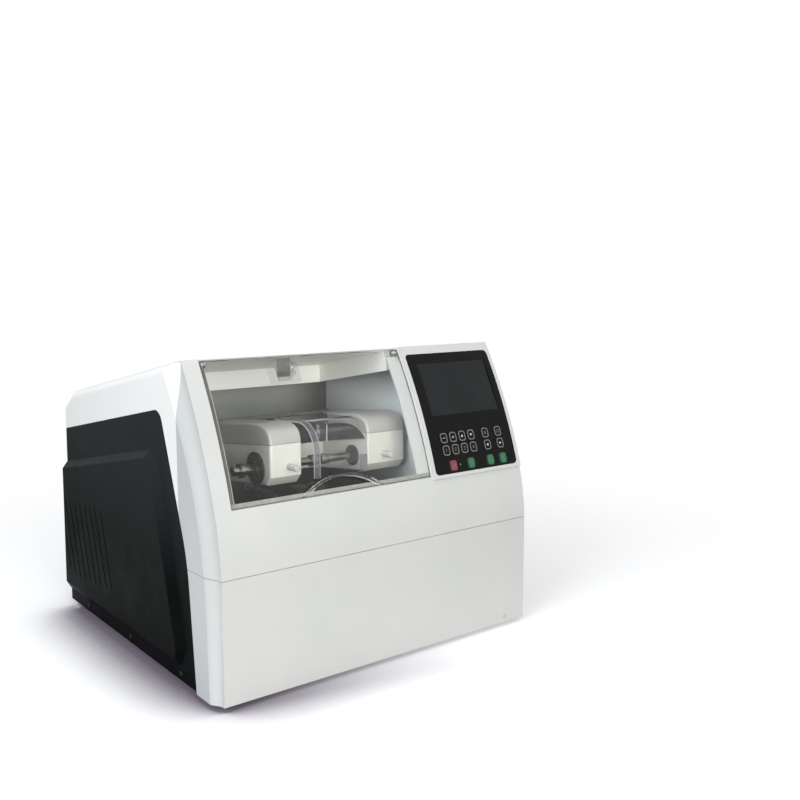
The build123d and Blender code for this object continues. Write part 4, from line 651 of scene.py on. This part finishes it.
KEY_FACE_MM = 3.7  # the keys' faces, out from the front surface
PRINT_MM = 0.06  # the ink as drawn, on each side of the face
KEY_ROWS_MM = (323.0, 304.0, 280.0)
KEY_COLUMNS_MM = (130.3, 149.8, 169.3, 188.8)  # x of the keys in the two upper rows
KEY_PAIR_MM = (220.5, 249.3)  # and of the pair that stands apart in all three rows
RED_X_MM = 139.3  # x of the red key in the lowest row
GREEN_X_MM = 177.6  # and of the green one beside it
RING_MM = ((14.2, 16.7, 4.4), (10.6, 13.1, 2.8))  # width, height and corner, outside and inside
BORDER_MM = ((17.4, 18.3, 3.0), (13.8, 16.8, 4.0))
PEN_MM = 0.85

DIGIT_STROKES = {
    1: (((-1.2, 1.6), (0.2, 2.8)), ((0.2, 2.9), (0.2, -2.9))),
    2: (
        ((-1.6, 1.6), (-1.0, 2.6)),
        ((-1.1, 2.6), (1.1, 2.6)),
        ((1.0, 2.7), (1.6, 1.5)),
        ((1.6, 1.7), (-1.6, -2.4)),
        ((-1.8, -2.6), (1.8, -2.6)),
    ),
    3: (
        ((-1.6, 2.6), (1.6, 2.6)),
        ((1.5, 2.7), (0.0, 0.5)),
        ((0.0, 0.6), (1.5, -0.2)),
        ((1.5, 0.0), (1.5, -1.8)),
        ((1.6, -1.6), (0.7, -2.7)),
        ((1.0, -2.6), (-1.6, -2.6)),
    ),
    4: (((0.8, 2.9), (0.8, -2.9)), ((0.8, 2.7), (-1.9, -0.9)), ((-2.0, -1.0), (2.0, -1.0))),
}

TRIANGLE = ((-2.2, -1.7), (2.2, -1.7), (0.0, 2.4))
START_SIZE = 1.1  # the start key's triangle against the arrows'


def key_marks():
    """Name, x, z and the printed shapes of each key: outlines with a hole, or None."""
    up = list(TRIANGLE)
    down = [(x, -y) for x, y in TRIANGLE][::-1]
    left = [(-y, x) for x, y in TRIANGLE]
    right = [(y, -x) for x, y in TRIANGLE]
    minus = [(bar(-2.2, -0.45, 2.2, 0.45), None)]
    plus = minus + [(bar(-0.45, 0.45, 0.45, 2.2), None), (bar(-0.45, -2.2, 0.45, -0.45), None)]
    lines = [(bar(-2.6, y - 0.4, 2.6, y + 0.4), None) for y in (-2.0, 0.0, 2.0)]
    window = [(rounded_rectangle(6.0, 5.0, 0.8), rounded_rectangle(4.4, 3.4, 0.4))]
    square = [(rounded_rectangle(5.2, 5.2, 0.6), rounded_rectangle(3.6, 3.6, 0.3))]
    ring = [(circle(2.9), circle(2.1))]
    upright = [(bar(-0.5, -2.6, 0.5, 2.6), None)]
    start = [([(x * START_SIZE, y * START_SIZE) for x, y in right], None)]
    top, middle, low = KEY_ROWS_MM
    near, far = KEY_PAIR_MM
    firsts = (("minus", minus), ("plus", plus), ("up", [(up, None)]), ("down", [(down, None)]))
    keys = [(name, x, top, shapes) for (name, shapes), x in zip(firsts, KEY_COLUMNS_MM)]
    for digit, x in enumerate(KEY_COLUMNS_MM, 1):
        shapes = [(stroke(a, b, PEN_MM), None) for a, b in DIGIT_STROKES[digit]]
        keys.append((f"digit_{digit}", x, middle, shapes))
    keys += [("menu_1", near, top, lines), ("menu_2", far, top, window)]
    keys += [("side_1", near, middle, [(left, None)]), ("side_2", far, middle, [(right, None)])]
    keys += [("red_stop", RED_X_MM, low, square), ("green_1", GREEN_X_MM, low, ring)]
    keys += [("green_2", near, low, upright), ("green_3", far, low, start)]
    return keys


def print_keys():
    """A grey ring on each black key, a black border round each coloured one, and the signs."""
    for name, x, z, shapes in key_marks():
        place, body = on_front(x, z, KEY_FACE_MM), f"button_{name}"
        coloured = name.startswith(("red", "green"))
        outer, inner = BORDER_MM if coloured else RING_MM
        rim = [(rounded_rectangle(*outer), rounded_rectangle(*inner))]
        ink = console_black if coloured else grey_ink
        add_plates(f"ring_{name}", rim, -PRINT_MM, PRINT_MM, place, ink, body)
        pale = name.startswith(("minus", "plus", "up", "down", "side"))
        ink = pale_ink if pale else grey_ink
        add_plates(f"sign_{name}", shapes, -PRINT_MM, PRINT_MM, place, ink, body)


print_keys()


# ---- Strips and bands ----


def along_front(name, x0, x1, z0, z1, depth, thick, finish, body, slot, steps=24):
    """A thin strip that follows the front's curve between two heights."""
    mesh = bmesh.new()
    rows = []
    for i in range(steps + 1):
        z = z0 + (z1 - z0) * i / steps
        row = []
        for x, out in ((x0, 0.0), (x1, 0.0), (x1, thick), (x0, thick)):
            row.append(mesh.verts.new(on_front(x, z, depth + out).translation / MM))
        rows.append(row)
    for lower, upper in zip(rows, rows[1:]):
        for k in range(4):
            mesh.faces.new([lower[k], lower[(k + 1) % 4], upper[(k + 1) % 4], upper[k]])
    mesh.faces.new(rows[0])
    mesh.faces.new(rows[-1][::-1])
    add_piece(name, mesh, Matrix.Identity(4), finish, body)


def side_band(name, near, far, x0, x1, finish, body, slot):
    """A band between two open curves of (y, z) points, from x0 to x1."""
    mesh = bmesh.new()
    corners = ((near, x0), (far, x0), (far, x1), (near, x1))
    rows = [[mesh.verts.new(at(x, y, z) / MM) for y, z in curve] for curve, x in corners]
    for i in range(len(near) - 1):
        for one, other in zip(rows, rows[1:] + rows[:1]):
            mesh.faces.new([one[i], one[i + 1], other[i + 1], other[i]])
    mesh.faces.new([row[0] for row in rows])
    mesh.faces.new([row[-1] for row in rows][::-1])
    add_piece(name, mesh, Matrix.Identity(4), finish, body)


def turned_about(centre, radius, start, end, steps=20):
    """Points on an arc, at angles in degrees from the +Y direction towards +Z."""
    points = []
    for i in range(steps + 1):
        angle = radians(start + (end - start) * i / steps)
        points.append((centre[0] + radius * cos(angle), centre[1] + radius * sin(angle)))
    return points


# ---- Status light and front plug ----

STATUS_LIGHT_MM = (153.7, 280.0)
STATUS_LIGHT_R_MM = 0.65
CONSOLE_FACE_MM = 3.2
FRONT_PLUG_MM = (242.7, 10.4)
FRONT_PLUG_R_MM = 3.4
PLUG_PROUD_MM = 0.3
THIN_MM = 0.1  # how far a flat detail goes in or stands out


def fit_lens_and_plug():
    """The status light's lens, and the round plug low on the front cover."""
    lens, plug = [(circle(STATUS_LIGHT_R_MM), None)], [(circle(FRONT_PLUG_R_MM), None)]
    place = on_front(*STATUS_LIGHT_MM, CONSOLE_FACE_MM)
    add_plates("status_lens", lens, -THIN_MM, THIN_MM, place, milky_lens, "chassis")
    place = on_front(*FRONT_PLUG_MM, 0.0)
    add_plates("front_plug", plug, -THIN_MM, PLUG_PROUD_MM, place, plug_grey, "chassis")


fit_lens_and_plug()


# ---- Where the door closes ----

SEAT_X_MM = (-259.5, 90.0)
SILL_Z_MM = (268.9, 275.9)
SEAT_DEPTH_MM = -4.35  # its back, from the front surface
SEAT_THICK_MM = 0.25
SIDE_FOAM_WIDTH_MM = 5.5
SIDE_FOAM_TOP_MM = 455.0
EDGE_PAST_MM = 0.3  # how far the door's edge reaches past the foam
EDGE_THICK_MM = 0.3
EDGE_HEIGHT_MM = 1.0
EDGE_DEPTH_MM = -0.2
STRAP_X_MM = (-259.8, 88.4)  # the hinge straps' left sides
STRAP_WIDTH_MM = 2.1
STRAP_Z_MM = (449.0, 463.5)
STRAP_THICK_MM = 0.4
HINGE_MM = (105.3, 458.1)  # y and z of the door's hinge
HINGE_SWEEP_MM = 7.7
LINING_MM = (0.1, 0.9)  # inner and outer skin of the lining, past the hinge's sweep
LINING_ARC = (-122, 40)
LINING_X_MM = ((-259.5, -252.0), (70.5, 90.3))


def fit_door_seat():
    """A grey band along the sill and dark foam up the left side, where the door closes, the door's
    low edge and hinge straps, and the lining round each hinge."""
    (left, right), (low, high) = SEAT_X_MM, SILL_Z_MM
    foam = (SEAT_DEPTH_MM, SEAT_THICK_MM)
    # A grey band along the sill, behind the door's low edge.
    along_front("sill_band", left, right, low, high, *foam, sill_grey, "chassis", "tub_grey", 2)
    upright = (left, left + SIDE_FOAM_WIDTH_MM, high, SIDE_FOAM_TOP_MM)
    along_front("side_foam", *upright, *foam, dark_foam, "chassis", "tub_grey")
    # The dark strip along the door's low edge is the sheet's sawn edge and a painted shadow line under
    # it.
    edge = (left - EDGE_PAST_MM, right + EDGE_PAST_MM, low, low + EDGE_HEIGHT_MM)
    edge += (EDGE_DEPTH_MM, EDGE_THICK_MM)
    along_front("door_edge_low", *edge, edge_grey, "door", "clear_acrylic", 2)
    for side, x in zip(("left", "right"), STRAP_X_MM):
        strap = (x, x + STRAP_WIDTH_MM, *STRAP_Z_MM, EDGE_DEPTH_MM, STRAP_THICK_MM)
        along_front(f"hinge_strap_{side}", *strap, edge_grey, "door", "clear_acrylic", 6)
    skins = [turned_about(HINGE_MM, HINGE_SWEEP_MM + gap, *LINING_ARC) for gap in LINING_MM]
    for side, ends in zip(("left", "right"), LINING_X_MM):
        side_band(f"hinge_lining_{side}", *skins, *ends, cap_white, "chassis", "white_casing")


fit_door_seat()


# ---- Splash guard ----

GUARD_X_MM = (-78.0, 21.0)
GUARD_MIDDLE_MM = (136.5, 312.5)  # y and z of the middle of its bend
GUARD_BEND_MM = 46.0
GUARD_BACK_MM = (200.0, 354.4)
GUARD_LOW_MM = 275.0
RIM_WIDTH_MM = 9.0
RIM_PROUD_MM = 0.3
BEAD_WIDTH_MM = 0.8
BEAD_PROUD_MM = 0.5
TAB_WIDTH_MM = 15.0
TAB_TOP_MM = 303.0
CORNER_GLINT_X_MM = (20.1, 21.3)  # a painted highlight: a pale strip in the corner of the bracket behind the guard
CORNER_GLINT_Y_MM = (205.2, 207.2)
CORNER_GLINT_Z_MM = (305.5, 338.0)


def guard_line(inset):
    """The guard's side view from its crest, round the bend and down to its lower edge."""
    arc = turned_about(GUARD_MIDDLE_MM, GUARD_BEND_MM - inset, 90, 180)
    back = (GUARD_BACK_MM[0], GUARD_BACK_MM[1] - inset)
    return [back, *arc, (arc[-1][0], GUARD_LOW_MM)]


def fit_guard_rims():
    """The scuffed left rim with its bright bead, the tab low on the right, and a painted highlight
    in the corner behind: a pale strip where the bracket's bend would glint."""
    left, right = GUARD_X_MM
    face, bead_left = guard_line(0.0), left + RIM_WIDTH_MM
    rim = (guard_line(-RIM_PROUD_MM), face, left, bead_left)
    side_band("guard_rim", *rim, scuffed_acrylic, "guard", "clear_acrylic")
    bead = (guard_line(-BEAD_PROUD_MM), face, bead_left, bead_left + BEAD_WIDTH_MM)
    side_band("guard_bead", *bead, milky_lens, "guard", "clear_acrylic")
    # A painted highlight: a pale upright strip in the bracket's corner, standing for its glint.
    corner = [[(y, z) for z in CORNER_GLINT_Z_MM] for y in CORNER_GLINT_Y_MM]
    side_band("painted_glint_strip", *corner, *CORNER_GLINT_X_MM, lacquered_white, "carriage", "white_casing")
    front = GUARD_MIDDLE_MM[0] - GUARD_BEND_MM
    tab = [[(front - out, z) for z in (GUARD_LOW_MM, TAB_TOP_MM)] for out in (RIM_PROUD_MM, 0.0)]
    side_band("guard_tab", *tab, right - TAB_WIDTH_MM, right, scuffed_acrylic, "guard", "clear_acrylic")


fit_guard_rims()


# ---- Door's catch ----

CATCH_X_MM = (-133.5, -111.8)
CATCH_Y_MM = (102.9, 104.4)
CATCH_Z_MM = (433.5, 461.0)
WEDGE_HALF_MM = 10.5
WEDGE_LENGTH_MM = 8.0
WEDGE_LINE_MM = 0.8


def fit_catch():
    """The dark plate behind the door's clear block, and the outline of its wedge."""
    faces = [[(y, z) for z in CATCH_Z_MM] for y in CATCH_Y_MM]
    side_band("catch_plate", *faces, *CATCH_X_MM, magnet, "door", "dark_metal")
    root = CATCH_X_MM[1]
    tip = (root + WEDGE_LENGTH_MM, 0)
    lines = [(stroke((root, y), tip, WEDGE_LINE_MM), None) for y in (-WEDGE_HALF_MM, WEDGE_HALF_MM)]
    upright = Matrix(((1, 0, 0), (0, 0, -1), (0, 1, 0))).to_4x4()
    place = Matrix.Translation(at(0, CATCH_Y_MM[0], sum(CATCH_Z_MM) / 2)) @ upright
    add_plates("catch_wedge_line", lines, -THIN_MM, THIN_MM, place, edge_grey, "door")


fit_catch()


# ---- Floor, light and background ----

MIRRORED = 0.3  # how bright the white surroundings are in reflections
FLOOR_R = 6.0
SHADE_REACH = 0.16  # how far the machine's soft shade reaches over the floor
SHADE_SPAN = (0.45, 0.95)  # how open the floor is to the sky where its shade is full, and gone
SHADE_FADE = (-0.3, 0.25)  # between these x it fades out, towards the light side of the room
PAPER_SPAN = (0.3, 1.4)  # the paper turns to plain white between these distances
PAPER_WHITE = 0.3  # and is this much plain white nearer in
WORLD_LIGHT = 0.62

LAMPS = (  # name, place, what it points at, width in metres, watts and colour
    ("top_box", (0.2, -0.3, 2.4), (0, 0, 0.2), 2.0, 12, "FFFFFF"),
    ("front_box", (-0.6, -2.7, 0.5), (0, 0, 0.28), 1.4, 54, "FFFDF8"),
    ("left_box", (-2.3, -0.9, 1.2), (0, 0, 0.3), 1.4, 41, "F2F8FF"),
)


def seen_directly(tree):
    """1 for rays from the camera or through glass, less in mirrors; 0 for light on the object."""
    rays = add(tree, "ShaderNodeLightPath").outputs
    links = {0: rays["Is Camera Ray"], 1: rays["Is Transmission Ray"]}
    first = add(tree, "ShaderNodeMath", {"operation": "MAXIMUM"}, links)
    dimmer = {"operation": "MULTIPLY", 1: MIRRORED}
    mirrored = add(tree, "ShaderNodeMath", dimmer, {0: rays["Is Glossy Ray"]})
    links = {0: first.outputs[0], 1: mirrored.outputs[0]}
    return add(tree, "ShaderNodeMath", {"operation": "MAXIMUM"}, links).outputs[0]


def open_floor(tree, place):
    """1 where the floor lies open to the sky, less in the machine's shade."""
    near = add(tree, "ShaderNodeAmbientOcclusion", {"samples": 16, "Distance": SHADE_REACH})
    along = add(tree, "ShaderNodeSeparateXYZ", links={0: place}).outputs[X]
    soft = []
    for source, (start, end) in ((near.outputs["AO"], SHADE_SPAN), (along, SHADE_FADE)):
        spread = {"From Min": start, "From Max": end, "interpolation_type": "SMOOTHSTEP"}
        soft.append(add(tree, "ShaderNodeMapRange", spread, {"Value": source}).outputs[0])
    return add(tree, "ShaderNodeMath", {"operation": "MAXIMUM"}, {0: soft[0], 1: soft[1]}).outputs[0]


def studio_paper():
    """Matt paper with the machine's shadow painted into its colour, fading out to the right,
    that turns to plain white away from it.
    """
    material = bpy.data.materials.new("studio_paper")
    material.use_nodes = True
    tree = material.node_tree
    tree.nodes.clear()
    place = add(tree, "ShaderNodeTexCoord").outputs["Object"]
    is_open = open_floor(tree, place)
    # A painted shadow: the paper darkens to 6E6670 where the machine closes it in.
    tones = {"data_type": "RGBA", UNDER: linear("6E6670"), OVER: linear("EFEEEF")}
    shade = add(tree, "ShaderNodeMix", tones, {FACTOR: is_open}).outputs[MIXED]
    paper = add(tree, "ShaderNodeBsdfDiffuse", {"Roughness": 0.9}, {"Color": shade})
    glow = add(tree, "ShaderNodeEmission", {"Color": (1, 1, 1, 1)}, {"Strength": seen_directly(tree)})
    reach = add(tree, "ShaderNodeVectorMath", {"operation": "LENGTH"}, {0: place}).outputs["Value"]
    spread = {"From Min": PAPER_SPAN[0], "From Max": PAPER_SPAN[1], "interpolation_type": "SMOOTHSTEP"}
    spread |= {"To Min": PAPER_WHITE, "To Max": 1.0}
    away = add(tree, "ShaderNodeMapRange", spread, {"Value": reach}).outputs[0]
    share = add(tree, "ShaderNodeMath", {"operation": "MULTIPLY"}, {0: away, 1: is_open}).outputs[0]
    links = {0: share, 1: paper.outputs[0], 2: glow.outputs[0]}
    mixed = add(tree, "ShaderNodeMixShader", links=links)
    add(tree, "ShaderNodeOutputMaterial", links={"Surface": mixed.outputs[0]})
    return material


def lay_floor():
    """A pale sweep of paper under the machine."""
    mesh = bmesh.new()
    bmesh.ops.create_circle(mesh, cap_ends=True, segments=96, radius=FLOOR_R)
    data = bpy.data.meshes.new("floor")
    mesh.to_mesh(data)
    mesh.free()
    data.materials.append(studio_paper())
    floor = bpy.data.objects.new("floor", data)
    bpy.context.scene.collection.objects.link(floor)


def set_world():
    """Plain white where the camera sees it, and a dimmer grey-blue as light."""
    world = bpy.data.worlds.new("studio")
    bpy.context.scene.world = world
    world.use_nodes = True
    tree = world.node_tree
    tree.nodes.clear()
    light = add(tree, "ShaderNodeBackground", {"Color": linear("EEF3F6"), "Strength": WORLD_LIGHT})
    plain = add(tree, "ShaderNodeBackground", {"Color": (1, 1, 1, 1), "Strength": 1.0})
    links = {0: seen_directly(tree), 1: light.outputs[0], 2: plain.outputs[0]}
    mixed = add(tree, "ShaderNodeMixShader", links=links)
    add(tree, "ShaderNodeOutputWorld", links={"Surface": mixed.outputs[0]})


def hang_lamp(name, place, target, size, power, colour):
    """A square softbox that points at a spot."""
    data = bpy.data.lights.new(name, "AREA")
    data.shape = "SQUARE"
    data.size = size
    data.energy = power
    data.color = linear(colour)[:3]
    lamp = bpy.data.objects.new(name, data)
    lamp.location = place
    lamp.rotation_euler = (Vector(target) - Vector(place)).to_track_quat("-Z", "Y").to_euler()
    bpy.context.scene.collection.objects.link(lamp)


lay_floor()
set_world()
for lamp in LAMPS:
    hang_lamp(*lamp)

bpy.context.scene.view_settings.view_transform = "Standard"
